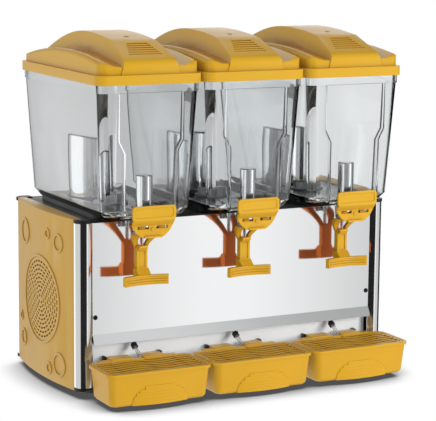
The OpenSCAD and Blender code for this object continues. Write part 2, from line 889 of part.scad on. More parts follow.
module tray_hooks() {
    color(black) in_frame() for (x = bowl_places, sx = [-1, 1]) translate([x, 0, 0]) scale_mirror_x(sx) {
        block([tongue_half - 8, 3, tongue_low_z - 6], [tongue_half + 5, kick_y, tongue_low_z - seat_gap]);
        block([tongue_half + 0.5, 3, tongue_low_z - 6], [tongue_half + 5, kick_y, tray_rim_z + 3]);
    }
}

// Bowls

// Thin rounded outline, drawn in from the lid's outline, at one height
module bowl_level(inset, z, r) {
    for (sx = [-1, 1], y = [lid_y + inset + r, lid_y + lid_d - inset - r])
        translate([sx * (lid_w / 2 - inset - r), y, z]) cylinder(r = r, h = thin, $fn = hull_fn);
}

module bowl_body(inset, low_z) {
    hull() {
        bowl_level(wall_inset + inset, rim_low_z, bowl_r - inset);
        bowl_level(wall_inset + bowl_draft + inset, chamfer_z, bowl_r - inset);
    }
    hull() {
        bowl_level(wall_inset + bowl_draft + inset, chamfer_z, bowl_r - inset);
        bowl_level(wall_inset + bowl_draft + base_chamfer + inset, low_z, bowl_r - inset);
    }
}

// Flat-fronted bay, wide above and narrow below
module bowl_bay(inset, low_z, back_y) {
    intersection() {
        between_y(inset - bay_front, back_y) polygon([
            [-bay_top_half + inset, rim_low_z + thin], [-bay_top_half + inset, bay_shoulder_top_z],
            [-bay_low_half + inset, bay_shoulder_low_z], [-bay_low_half + inset, low_z],
            [bay_low_half - inset, low_z], [bay_low_half - inset, bay_shoulder_low_z],
            [bay_top_half - inset, bay_shoulder_top_z], [bay_top_half - inset, rim_low_z + thin]]);
        along_x(2 * bay_top_half) polygon([
            [inset - bay_front, rim_low_z + over], [inset - bay_front, low_z + bay_chamfer],
            [inset - bay_front + bay_chamfer, low_z], [back_y, low_z], [back_y, rim_low_z + over]]);
    }
}

module rim_outline(inset, r) {
    translate([0, lid_y + lid_d / 2]) rounded(lid_w - 2 * inset, lid_d - 2 * inset, r);
}

module lever_lugs() {
    for (sx = [-1, 1]) translate([sx * (lug_half + lug_t / 2), 0, 0]) along_x(lug_t) {
        translate([pivot_y, pivot_z]) circle(barrel_r);
        polygon([[pivot_y - barrel_r + 1, bowl_low_z + 1], [pivot_y + barrel_r + 4, bowl_low_z + 1],
                 [pivot_y + barrel_r, pivot_z], [pivot_y - barrel_r, pivot_z]]);
    }
}

module bowl(i) {
    color(clear) at_bowl(i) difference() {
        union() {
            bowl_body(0, bowl_low_z);
            bowl_bay(0, bowl_low_z, -bay_front + 45);
            translate([0, 0, rim_low_z]) linear_extrude(rim_top_z - rim_low_z) rim_outline(rim_inset, bowl_r);
            translate([0, spout_y, spout_low_z]) cylinder(r = spout_r + spout_t, h = floor_z - spout_low_z);
            translate([0, rod_y, spout_low_z + 8])
                cylinder(r = rod_r + spout_t + 1, h = floor_z - spout_low_z - 8);
            lever_lugs();
        }
        difference() {
            union() {
                bowl_body(bowl_t, floor_z);
                bowl_bay(bowl_t, floor_z, -bay_front + 60);
                translate([0, 0, rim_low_z - thin]) linear_extrude(rim_top_z)
                    rim_outline(wall_inset + bowl_t, bowl_r - bowl_t);
            }
            translate([0, stirrer_y, bowl_low_z]) cylinder(r = stub_r, h = floor_z - bowl_low_z + stirrer_h);
        }
        translate([0, evaporator_y, bowl_low_z - over])
            cylinder(r = evaporator_r + seal_w + seat_gap, h = bowl_t + 3);
        translate([0, spout_y, spout_low_z - over]) cylinder(r = spout_r, h = floor_z - spout_low_z + 2 * over);
        translate([0, rod_y, spout_low_z]) cylinder(r = rod_r + run_gap, h = floor_z - spout_low_z + over);
        translate([0, pivot_y, pivot_z]) x_cylinder(pin_r + run_gap, 2 * pin_half);
    }
}

module stirrer(i) {
    low = floor_z + seat_gap;
    color("#e9edf0") at_bowl(i) translate([0, stirrer_y, low]) difference() {
        union() {
            cylinder(r = stub_r + 5, h = stirrer_h + 3);
            cylinder(r = stirrer_r, h = 2.5);
            for (k = [0 : 4]) rotate(72 * k) translate([stub_r + 3, 0, 1]) difference() {
                translate([0, -20, 0]) cylinder(r = 21, h = stirrer_h - 1);
                translate([0, -20, -over]) cylinder(r = 19, h = stirrer_h + over);
                block([-60, -60, -over], [0, 60, stirrer_h + over]);
                block([-60, -60, -over], [60, -9, stirrer_h + over]);
            }
        }
        translate([0, 0, -over]) cylinder(r = stub_r + run_gap, h = stirrer_h + over + seat_gap);
    }
}

// Lids

dome_run = lid_d / 2 - dome_in - dome_r;
dome_lean = sqrt(shoulder_rear_drop / shoulder_drop);
dome_shift = dome_run * (dome_lean - 1) / (dome_lean + 1);
arch_y = lid_y + lid_d / 2 - dome_shift;
arch_r = (pow(dome_run - dome_shift, 2) + pow(shoulder_drop, 2)) / (2 * shoulder_drop);
arch_z = lid_seat_z + shoulder_h - arch_r;

// Height of the centre of a rounded edge that meets the dome's arch
function dome_edge_z(y, r, inset) = arch_z + sqrt(pow(arch_r - inset - r, 2) - pow(y - arch_y, 2)) + 0.5;

// Side outline of the dome's front and rear edges, open above
module dome_ends(inset) {
    r = dome_r - inset;
    f = lid_y + dome_in + dome_r;
    b = lid_y + lid_d - dome_in - dome_r;
    low = lid_seat_z - inset - over;
    top = lid_seat_z + shoulder_h + 2 * over;
    front_z = dome_edge_z(f, r, inset);
    rear_z = dome_edge_z(b, r, inset);
    translate([f, front_z]) circle(r);
    translate([b, rear_z]) circle(r);
    polygon([[f - r, low], [f - r, front_z], [f, front_z], [f, top],
             [b, top], [b, rear_z], [b + r, rear_z], [b + r, low]]);
}

// Cross section of the dome: round side edges and a valley on each side of the hump
module dome_section(inset) {
    w = lid_w / 2 - dome_in - inset + 0.2;
    e = dome_side_r - inset;
    r = arch_r - inset;
    low = r - shoulder_h - 40;
    ridge = w - e - 2;
    foot = ridge - 3 * valley_d;
    difference() {
        union() {
            translate([low, -w]) square([r - e - low, 2 * w]);
            translate([low, e - w]) square([r - low, 2 * (w - e)]);
            for (sx = [-1, 1]) translate([r - e, sx * (w - e)]) circle(e);
        }
        polygon([[r + over, -ridge - 3 * over], [r - valley_d, -foot],
                 [r - valley_d, foot], [r + over, ridge + 3 * over]]);
    }
}

// Side outline of the hump: front face, ribbed slope, crown and fall to the back
function hump(inset) = let (
    f = lid_y + dome_in - 1.5 + inset,
    b = lid_y + lid_d - dome_in - inset,
    r = 14 - inset,
    front = lid_seat_z + hump_front_h - inset,
    peak = lid_seat_z + hump_h - inset,
    break_drop = hump_h - hump_break_h)
    concat([[f, lid_seat_z - inset - over]],
        arc([f + r, front - r], r, 180, 115, 5),
        [for (k = [0 : 7]) let (t = 1 - k / 8)
            [hump_peak_y - t * (hump_peak_y - hump_break_y), peak - break_drop * t * t]],
        [for (k = [0 : 10]) let (t = k / 10)
            [hump_peak_y + t * (b - 6 - hump_peak_y), peak - hump_rear_drop * t * t]],
        [[b, peak - hump_rear_drop - 12], [b, lid_seat_z - inset - over]]);

module dome(inset) {
    sweep = 2 * asin((lid_d / 2 + dome_shift) / arch_r) + 2;
    intersection() {
        along_x(lid_w) dome_ends(inset);
        translate([0, arch_y, arch_z]) rotate([90, 0, 90]) rotate(90 - sweep / 2)
            rotate_extrude(angle = sweep) dome_section(inset);
        translate([0, 0, lid_seat_z - lid_t - over]) linear_extrude(shoulder_h + 20)
            rim_outline(dome_in + inset, lid_r - dome_in / 3 - inset);
    }
}

module hump_body(inset, side_inset) {
    intersection() {
        along_x(2 * hump_foot_half) polygon(hump(inset));
        between_y(-lid_front, lid_d) polygon([
            [-hump_foot_half + side_inset, lid_seat_z - lid_t - over],
            [-hump_top_half + side_inset, lid_seat_z + hump_h + over],
            [hump_top_half - side_inset, lid_seat_z + hump_h + over],
            [hump_foot_half - side_inset, lid_seat_z - lid_t - over]]);
    }
}

slope_low = [lid_y + dome_in + 12, lid_seat_z + hump_front_h + 2.5];
slope_high = [hump_break_y, lid_seat_z + hump_break_h];
slope_tilt = atan2(slope_high[1] - slope_low[1], slope_high[0] - slope_low[0]);
slope_run = norm(slope_high - slope_low);

// Lies flat on the sloping front of the hump, X across and Y up the slope
module on_slope() {
    translate([0, slope_low[0], slope_low[1]]) rotate([slope_tilt, 0, 0]) children();
}

module ribbed_panel_recess() {
    margin = 8;
    rib = (slope_run - 2 * margin) / (2 * panel_ribs + 1);
    on_slope() difference() {
        translate([0, 0, -panel_recess]) linear_extrude(12)
            polygon([[-32, margin], [32, margin], [19, slope_run - margin], [-19, slope_run - margin]]);
        for (k = [1 : panel_ribs]) translate([-60, margin + (2 * k - 1) * rib, -panel_recess - over])
            cube([120, rib, over + panel_recess * 0.7]);
    }
}

// Hollow along one side of the hump, deepest in the middle
module finger_grip(wall_x, grip_z) {
    sweep_r = (grip_l * grip_l / 4 + grip_depth * grip_depth) / (2 * grip_depth);
    difference() {
        intersection() {
            between_y(lid_y, lid_y + lid_d) polygon([
                [wall_x - grip_depth, grip_z + 2], [wall_x + 20, grip_z + 2],
                [wall_x + 20, grip_z + 24], [wall_x - 5, grip_z + 24]]);
            translate([wall_x - grip_depth + sweep_r, lid_y + lid_d / 2 + 10, grip_z])
                cylinder(r = sweep_r, h = 30, $fn = 256);
        }
        dome(0);
    }
}

module lid(i) {
    grip_z = lid_seat_z + shoulder_h - shoulder_drop;
    wall_x = hump_foot_half - (hump_foot_half - hump_top_half) * (grip_z - lid_seat_z) / hump_h;
    color(yellow) at_bowl(i) difference() {
        union() {
            translate([0, 0, skirt_low_z]) linear_extrude(skirt_h) rim_outline(0, lid_r);
            dome(0);
            hump_body(0, 0);
        }
        translate([0, 0, skirt_low_z - over]) linear_extrude(skirt_h - lid_t + over)
            rim_outline(lid_t, lid_r - lid_t);
        dome(lid_t);
        hump_body(lid_t + panel_recess, lid_t + grip_depth);
        ribbed_panel_recess();
        for (sx = [-1, 1]) scale_mirror_x(sx) finger_grip(wall_x, grip_z);
        translate([0, hump_break_y + 36, lid_seat_z + hump_h - 7.4]) rotate([-4, 0, 0]) cylinder(r = 5, h = 20);
    }
}

// Tap levers and valves

bar_y = -bar_front;
stem_back_y = -stem_back;
stem_front_y = -stem_back - stem_t;
plate_back_y = pivot_y - barrel_r - 1;
plate_front_y = plate_back_y - paddle_t + 1;
paddle_front_y = plate_front_y - 8;
paddle_low_z = paddle_top_z - paddle_h;
chin_z = paddle_low_z - 9;
plate_mid_z = plate_low_z + 38;
bar_low_z = bar_top_z - bar_h;
fork_half = lug_half - 1;
fork_gap = spout_r + spout_t + 3;

module lever_paddle() {
    difference() {
        between_y(paddle_front_y, paddle_front_y + paddle_t)
            translate([0, paddle_top_z - paddle_h / 2]) rounded(paddle_w, paddle_h, 6);
        between_y(paddle_front_y - over, paddle_front_y + 0.8)
            translate([0, paddle_top_z - paddle_h / 2 + 1]) rounded(paddle_w - 9, paddle_h - 9, 4);
    }
    along_x(paddle_w - 4) polygon([
        [paddle_front_y, paddle_low_z + 3], [paddle_front_y, paddle_low_z], [plate_front_y, chin_z],
        [plate_back_y, chin_z], [paddle_front_y + paddle_t, paddle_low_z + 3]]);
    between_y(plate_front_y, plate_back_y) difference() {
        intersection() {
            translate([0, plate_mid_z]) circle(plate_r);
            translate([-plate_r, plate_low_z]) square([2 * plate_r, chin_z + 2 - plate_low_z]);
        }
        for (sx = [-1, 1]) translate([sx * 18, chin_z - 3.8]) square([22, 5.4], center = true);
    }
    between_y(plate_front_y - 2.5, plate_back_y) translate([-16, plate_low_z]) square([32, 3]);
    between_y(plate_front_y - 1, plate_back_y) translate([0, plate_low_z + 15]) circle(3);
}

// Quarter of an oval in depth and height, from the round plate down to the stem
module fork_outline() {
    a = stem_back_y - stem_t / 2 + 2 - plate_back_y;
    b = plate_low_z + 5 - (bar_top_z + 43);
    foot = [plate_back_y, bar_top_z + 43];
    polygon(concat(
        [for (k = [0 : 12]) foot + [(a + 3) * sin(7.5 * k), (b + 3) * cos(7.5 * k)]],
        [for (k = [12 : -1 : 0]) foot + [(a - 3) * sin(7.5 * k), (b - 3) * cos(7.5 * k)]]));
}

module lever_fork() {
    difference() {
        intersection() {
            along_x(2 * fork_half) fork_outline();
            between_y(-plate_r - pivot_front, 0) polygon([
                [-fork_half, pivot_z], [-fork_half, plate_low_z], [-stem_w / 2, bar_top_z + 44],
                [-stem_w / 2, bar_top_z], [stem_w / 2, bar_top_z], [stem_w / 2, bar_top_z + 44],
                [fork_half, plate_low_z], [fork_half, pivot_z]]);
        }
        between_y(plate_back_y - over, 0) polygon([
            [-fork_gap, pivot_z + 20], [-fork_gap, plate_low_z - 1], [-stem_w * 0.3, pad_z],
            [stem_w * 0.3, pad_z], [fork_gap, plate_low_z - 1], [fork_gap, pivot_z + 20]]);
    }
    along_x(0.8 * stem_w) polygon([
        [rod_y - 10, pad_z], [rod_y - 10, pad_z - 3], [stem_front_y, pad_z - 10],
        [stem_back_y, pad_z - 10], [stem_back_y, pad_z]]);
    for (sx = [-1, 1]) scale_mirror_x(sx)
        block([fork_gap, plate_back_y - over, pivot_z - 9], [fork_half - 0.5, pivot_y, pivot_z + 8]);
}

module lever_stem() {
    difference() {
        block([-stem_w / 2, stem_front_y, bar_low_z + 8], [stem_w / 2, stem_back_y, pad_z - 1]);
        block([-stem_w / 2 + 4, stem_front_y - over, bar_top_z + 12],
              [stem_w / 2 - 4, stem_front_y + 1.2, bar_top_z + 42]);
    }
    along_x(stem_w + 4) polygon([
        [stem_back_y, bar_low_z + 4], [stem_back_y, bar_top_z + 10], [stem_front_y, bar_top_z + 10],
        [bar_y + 3, bar_top_z], [bar_y + 3, bar_low_z + 4]]);
}

module push_bar() {
    translate([0, bar_y - bar_r, bar_low_z]) rotate(90 - bar_half_angle) {
        rotate_extrude(angle = 2 * bar_half_angle) translate([bar_r, 0]) square([bar_t, bar_h]);
        for (k = [1 : bar_ribs]) rotate(1.5) rotate_extrude(angle = 2 * bar_half_angle - 3)
            translate([bar_r - 1, k * bar_h / (bar_ribs + 1) - 1]) square([1.5, 2]);
    }
}

module lever(i) {
    color(yellow) at_bowl(i) difference() {
        union() {
            lever_paddle();
            lever_fork();
            lever_stem();
            push_bar();
            translate([0, pivot_y, pivot_z]) x_cylinder(barrel_r, 2 * fork_half);
        }
        translate([0, pivot_y, pivot_z]) x_cylinder(pin_r + run_gap, 3 * pin_half);
    }
}

module lever_pin(i) {
    color(steel) at_bowl(i) translate([0, pivot_y, pivot_z]) x_cylinder(pin_r, 2 * pin_half);
}

module plunger(i) {
    low = floor_z + seat_gap + valve_seal_t;
    tube = plunger_r - plunger_t;
    color(steel) at_bowl(i) {
        translate([0, plunger_y, 0]) rotate_extrude() polygon([
            [tube, low], [plunger_r, low], [plunger_r, plunger_top_z - 1.5], [plunger_r - 1.5, plunger_top_z],
            [0, plunger_top_z], [0, plunger_top_z - plunger_t], [tube, plunger_top_z - plunger_t]]);
        translate([0, rod_y, pad_z + seat_gap])
            cylinder(r = rod_r, h = plunger_top_z - plunger_t / 2 - pad_z - seat_gap);
    }
}

module valve_seal(i) {
    color("#3a3a3c") at_bowl(i) difference() {
        translate([0, plunger_y, floor_z + seat_gap]) cylinder(r = plunger_r + 1.4, h = valve_seal_t);
        translate([0, rod_y, floor_z]) cylinder(r = rod_r, h = 3 * valve_seal_t);
    }
}

// Drip trays

module tray_level(inset, z, r) {
    for (sx = [-1, 1], sy = [-1, 1])
        translate([sx * (tray_w / 2 - inset - r), tray_mid_y + sy * (tray_d / 2 - inset - r), z])
            cylinder(r = r, h = thin, $fn = hull_fn);
}

module tray_tub(inset, low_z, high_z) {
    hull() {
        tray_level(tray_lip + inset, high_z, tray_r - inset);
        tray_level(tray_lip + tray_draft + inset, low_z + 4, tray_r - inset);
        tray_level(tray_lip + tray_draft + inset + 3, low_z, tray_r - inset);
    }
}

// Depth of the outside of the tray's front wall at a height
function tray_wall_y(z) = let (top = tray_rim_z - tray_rim_h / 2)
    -tray_front + tray_lip + tray_draft * (top - z) / (top - tray_low_z - 4);

// Arched swelling on the tray's front, in steps that bow forward
module tray_belly() {
    for (k = [0 : belly_steps - 1]) {
        low = tray_low_z + k * belly_h / belly_steps;
        high = low + belly_h / belly_steps;
        half = belly_half * sqrt(1 - pow(k / belly_steps, 2));
        edge_y = tray_wall_y(high) - 1;
        front_y = -tray_front + 0.5 + k * belly_step;
        sag = max(0.4, edge_y - front_y);
        bow_r = (half * half + sag * sag) / (2 * sag);
        intersection() {
            translate([0, edge_y - sag + bow_r, low]) cylinder(r = bow_r, h = high - low, $fn = 256);
            block([-half, -tray_front, low], [half, edge_y + tray_t, high]);
        }
    }
}

module tray_tongues() {
    for (sx = [-1, 1]) scale_mirror_x(sx) {
        block([notch_half, -tray_back - 2, tongue_low_z], [tongue_half, tongue_reach, tray_rim_z + 2]);
        block([notch_half, -tray_back - 2, tray_rim_z - tray_rim_h],
              [step_half, -tray_back / 2, tray_rim_z + 0.5]);
    }
}

module tray(i) {
    color(yellow) at_bowl(i) difference() {
        union() {
            tray_tub(0, tray_low_z, tray_rim_z - tray_rim_h / 2);
            translate([0, tray_mid_y, tray_rim_z - tray_rim_h]) linear_extrude(tray_rim_h)
                rounded(tray_w, tray_d, tray_r + tray_lip);
            tray_belly();
            tray_tongues();
        }
        difference() {
            tray_tub(tray_t, tray_low_z + tray_t, tray_rim_z + over);
            translate([0, tray_mid_y, grid_seat_z - ledge_h]) linear_extrude(ledge_h) difference() {
                rounded(tray_w, tray_d, tray_r);
                rounded(tray_w - 2 * ledge_in, tray_d - 2 * ledge_in, tray_r - ledge_w);
            }
        }
    }
}

// Wavy slats in a frame that drops into the tray's rim
module grid(i) {
    w = tray_w - 2 * (tray_lip + tray_t + 1);
    d = tray_d - 2 * (tray_lip + tray_t + 1);
    r = tray_r - tray_t - 1;
    step = (d - 2 * slat_w) / grid_slats;
    color(yellow) at_bowl(i) translate([0, tray_mid_y, grid_seat_z + seat_gap]) difference() {
        union() {
            linear_extrude(grid_t) difference() {
                rounded(w, d, r);
                rounded(w - 2 * slat_w, d - 2 * slat_w, r - slat_w);
            }
            intersection() {
                linear_extrude(grid_t - 0.5) rounded(w - slat_w, d - slat_w, r - slat_w / 2);
                union() for (k = [0 : grid_slats - 1])
                    translate([0, -d / 2 + slat_w + (k + 0.5) * step, 0]) linear_extrude(grid_t) slat(w);
            }
            for (x = [-w / 3, 0, w / 3]) block([x - 2, -d / 2 + 1, 0], [x + 2, d / 2 - 1, grid_t - 2.5]);
        }
        block([-notch_half, d / 2 - 10, -over], [notch_half, d / 2 + over, grid_t + over]);
    }
}

// One slat seen from above, straight at its ends and rippled about the middle
module slat(w) {
    n = 40;
    path = [for (k = [0 : n]) let (x = w * (k / n - 0.5), s = cos(180 * x / w))
        [x, -wave_h * s * s * sin(540 * x / w)]];
    polygon(concat([for (p = path) p - [0, slat_w / 2]], [for (k = [n : -1 : 0]) path[k] + [0, slat_w / 2]]));
}

SIDES = ["left", "centre", "right"];

base_pan();
feet();
front_panel();
kick_panel();
panel_screws();
left_side_panel();
right_side_panel();
front_posts();
rear_posts();
post_top_caps();
post_foot_caps();
top_deck();
rear_panel();
cable_gland();
switch_bezels();
evaporator_seals();
stirrer_motors();
compressor();
condenser();
fan_shroud();
fan_motor();
refrigerant_pipes();
control_box();
drain_grommets();
drain_tubes();
tray_hooks();
fan_blades();
cooling_rocker();
stirring_rocker();
for (i = [0 : 2]) {
    evaporator(i);
    stirrer(i);
    bowl(i);
    lid(i);
    lever(i);
    lever_pin(i);
    plunger(i);
    valve_seal(i);
    tray(i);
    grid(i);
}
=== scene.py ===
"""Looks of a cold drink dispenser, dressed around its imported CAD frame."""

import json
import logging
import math
from dataclasses import dataclass, field
from enum import Enum
from typing import Sequence, Union

import bmesh
import bpy
from mathutils import Matrix, Vector

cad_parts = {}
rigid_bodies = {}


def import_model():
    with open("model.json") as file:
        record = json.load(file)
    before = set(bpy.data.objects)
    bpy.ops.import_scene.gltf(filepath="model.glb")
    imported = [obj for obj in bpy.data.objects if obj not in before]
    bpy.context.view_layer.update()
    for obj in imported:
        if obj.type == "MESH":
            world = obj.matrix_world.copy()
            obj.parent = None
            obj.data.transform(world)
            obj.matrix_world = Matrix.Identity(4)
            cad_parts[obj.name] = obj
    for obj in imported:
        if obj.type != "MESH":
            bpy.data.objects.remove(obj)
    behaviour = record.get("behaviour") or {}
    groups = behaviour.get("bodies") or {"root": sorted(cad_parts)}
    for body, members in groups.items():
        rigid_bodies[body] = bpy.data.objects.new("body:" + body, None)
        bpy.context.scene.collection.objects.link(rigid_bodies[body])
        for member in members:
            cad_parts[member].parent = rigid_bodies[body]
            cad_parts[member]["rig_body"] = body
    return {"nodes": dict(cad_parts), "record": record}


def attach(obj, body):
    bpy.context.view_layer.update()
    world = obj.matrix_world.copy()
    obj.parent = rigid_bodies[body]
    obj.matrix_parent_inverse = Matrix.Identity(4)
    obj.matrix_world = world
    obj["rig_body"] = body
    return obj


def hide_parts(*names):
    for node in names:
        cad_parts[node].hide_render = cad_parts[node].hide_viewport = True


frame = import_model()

log = logging.getLogger("dispenser")

MM = 0.001
PANEL_Y = -98.5  # depth of the front panel's face in the frame

Color = tuple[float, float, float]
Fed = Union[bpy.types.NodeSocket, float, Color]


class Side(Enum):
    """Places of the three bowls, with their sideways distance in millimetres."""

    LEFT = ("left", -205.0)
    CENTRE = ("centre", 0.0)
    RIGHT = ("right", 205.0)

    @property
    def tag(self) -> str:
        """Name used in node names."""
        return self.value[0]

    @property
    def x(self) -> float:
        """Sideways place in millimetres."""
        return self.value[1]


def place(x: float, y: float, z: float) -> Vector:
    """Turns millimetres to the right, behind the front panel and above the floor into the frame's metres."""
    return Vector((x, y + PANEL_Y, z)) * MM


def feed(tree: bpy.types.NodeTree, socket: bpy.types.NodeSocket, value: Fed) -> None:
    """Gives an input its value.

    Args:
        tree: The tree that holds the input.
        socket: The input.
        value: An output to link, a number, or a colour.
    """
    if isinstance(value, (int, float)):
        socket.default_value = value
    elif isinstance(value, tuple):
        socket.default_value = (*value, 1.0)
    else:
        tree.links.new(value, socket)


def maths(tree: bpy.types.NodeTree, operation: str, *values: Fed) -> bpy.types.NodeSocket:
    """Adds a maths node.

    Args:
        tree: The tree to add it to.
        operation: The operation's name.
        values: Outputs or numbers for its inputs, in their order.

    Returns:
        The result.
    """
    made = tree.nodes.new("ShaderNodeMath")
    made.operation = operation
    for socket, value in zip(made.inputs, values):
        feed(tree, socket, value)
    return made.outputs[0]


def blended(tree: bpy.types.NodeTree, kind: str, share: Fed, low: Fed, high: Fed) -> bpy.types.NodeSocket:
    """Adds a blend of two values.

    Args:
        tree: The tree to add it to.
        kind: FLOAT for numbers or RGBA for colours.
        share: The share of the second value, which is held between 0 and 1.
        low: The first value.
        high: The second value.

    Returns:
        The blend.
    """
    made = tree.nodes.new("ShaderNodeMix")
    made.data_type = kind
    for name, value in (("Factor", share), ("A", low), ("B", high)):
        feed(tree, made.inputs[name], value)
    return made.outputs["Result"]


class NodeGroups:
    """Shader node groups that finishes and studio share, each built once."""

    FINE_DETAIL = 3.0
    BROAD_DETAIL = 2.0
    BROAD_SCALE = 9.0
    BUMP_DEPTH = 0.4 * MM
    CREASE_RAYS = 8

    @staticmethod
    def opened(name: str, takes: dict[str, str], gives: dict[str, str]
               ) -> tuple[bpy.types.NodeTree, bpy.types.Node, bpy.types.Node]:
        """Starts a group.

        Args:
            name: The group's name.
            takes: Name and kind of each input.
            gives: Name and kind of each output.

        Returns:
            The group's tree, its input node and its output node.
        """
        tree = bpy.data.node_groups.new(name, "ShaderNodeTree")
        for way, sockets in (("INPUT", takes), ("OUTPUT", gives)):
            for socket, kind in sockets.items():
                tree.interface.new_socket(name=socket, in_out=way, socket_type="NodeSocket" + kind)
        return tree, tree.nodes.new("NodeGroupInput"), tree.nodes.new("NodeGroupOutput")

    @classmethod
    def grain(cls) -> bpy.types.NodeTree:
        """Fine unevenness of a surface.

        Returns:
            A group that gives a tone factor, a roughness and a normal.
        """
        name = "Grain"
        found = bpy.data.node_groups.get(name)
        if found:
            return found
        takes = dict.fromkeys(("Scale", "Roughness", "Spread", "Tone", "Bump"), "Float")
        gives = {"Tone": "Float", "Roughness": "Float", "Normal": "Vector"}
        tree, start, end = cls.opened(name, takes, gives)
        nodes, links = tree.nodes, tree.links
        coords, bump = nodes.new("ShaderNodeTexCoord"), nodes.new("ShaderNodeBump")
        fine, broad = nodes.new("ShaderNodeTexNoise"), nodes.new("ShaderNodeTexNoise")
        fine.inputs["Detail"].default_value = cls.FINE_DETAIL
        broad.inputs["Detail"].default_value = cls.BROAD_DETAIL
        broad.inputs["Scale"].default_value = cls.BROAD_SCALE
        bump.inputs["Distance"].default_value = cls.BUMP_DEPTH
        for noise in (fine, broad):
            links.new(coords.outputs["Object"], noise.inputs["Vector"])
        links.new(start.outputs["Scale"], fine.inputs["Scale"])
        links.new(start.outputs["Bump"], bump.inputs["Strength"])
        links.new(fine.outputs["Fac"], bump.inputs["Height"])
        centred = maths(tree, "SUBTRACT", broad.outputs["Fac"], 0.5)
        rough = maths(tree, "MULTIPLY_ADD", centred, start.outputs["Spread"], start.outputs["Roughness"])
        links.new(maths(tree, "MULTIPLY_ADD", centred, start.outputs["Tone"], 1.0), end.inputs["Tone"])
        links.new(rough, end.inputs["Roughness"])
        links.new(bump.outputs["Normal"], end.inputs["Normal"])
        return tree

    @classmethod
    def tint(cls) -> bpy.types.NodeTree:
        """A colour multiplied by a tone factor.

        Returns:
            A group with a colour and a tone in and a colour out.
        """
        name = "Tint"
        found = bpy.data.node_groups.get(name)
        if found:
            return found
        tree, start, end = cls.opened(name, {"Color": "Color", "Tone": "Float"}, {"Color": "Color"})
        scale = tree.nodes.new("ShaderNodeVectorMath")
        scale.operation = "SCALE"
        tree.links.new(start.outputs["Color"], scale.inputs[0])
        tree.links.new(start.outputs["Tone"], scale.inputs["Scale"])
        tree.links.new(scale.outputs["Vector"], end.inputs["Color"])
        return tree

    @classmethod
    def crease(cls) -> bpy.types.NodeTree:
        """Painted shade: a colour that turns into a darker one in a piece's own narrow places.

        Returns:
            A group with both colours, a reach and the openness for all and for none of the second colour in,
            and a colour out.
        """
        name = "Crease Shade"
        found = bpy.data.node_groups.get(name)
        if found:
            return found
        takes = {"Color": "Color", "Crease Shade": "Color", "Reach": "Float", "Full": "Float", "None": "Float"}
        tree, start, end = cls.opened(name, takes, {"Color": "Color"})
        near, depth = tree.nodes.new("ShaderNodeAmbientOcclusion"), tree.nodes.new("ShaderNodeMapRange")
        near.samples = cls.CREASE_RAYS
        near.only_local = True
        tree.links.new(start.outputs["Reach"], near.inputs["Distance"])
        for socket, value in (("Value", near.outputs["AO"]), ("From Min", start.outputs["Full"]),
                              ("From Max", start.outputs["None"])):
            feed(tree, depth.inputs[socket], value)
        share = depth.outputs["Result"]
        shown = blended(tree, "RGBA", share, start.outputs["Crease Shade"], start.outputs["Color"])
        tree.links.new(shown, end.inputs["Color"])
        return tree

    @classmethod
    def band(cls) -> bpy.types.NodeTree:
        """An upright band of the studio in one direction, darker or brighter than the rest.

        Returns:
            A group that turns a direction into a factor.
        """
        name = "Studio Band"
        found = bpy.data.node_groups.get(name)
        if found:
            return found
        takes = {"Vector": "Vector"} | dict.fromkeys(("Angle", "Half Width", "Core", "Level"), "Float")
        tree, start, end = cls.opened(name, takes, {"Factor": "Float"})
        split, fade = tree.nodes.new("ShaderNodeSeparateXYZ"), tree.nodes.new("ShaderNodeMapRange")
        tree.links.new(start.outputs["Vector"], split.inputs[0])
        left = maths(tree, "MULTIPLY", split.outputs["X"], -1.0)
        ahead = maths(tree, "MULTIPLY", split.outputs["Y"], -1.0)
        turn = maths(tree, "SUBTRACT", maths(tree, "ARCTAN2", left, ahead), start.outputs["Angle"])
        away = maths(tree, "ABSOLUTE", maths(tree, "WRAP", turn, math.pi, -math.pi))
        even = maths(tree, "MULTIPLY", start.outputs["Half Width"], start.outputs["Core"])
        fade.interpolation_type = "SMOOTHSTEP"
        for socket, value in (("Value", away), ("From Min", even), ("From Max", start.outputs["Half Width"]),
                              ("To Min", start.outputs["Level"]), ("To Max", 1.0)):
            feed(tree, fade.inputs[socket], value)
        tree.links.new(fade.outputs["Result"], end.inputs["Factor"])
        return tree


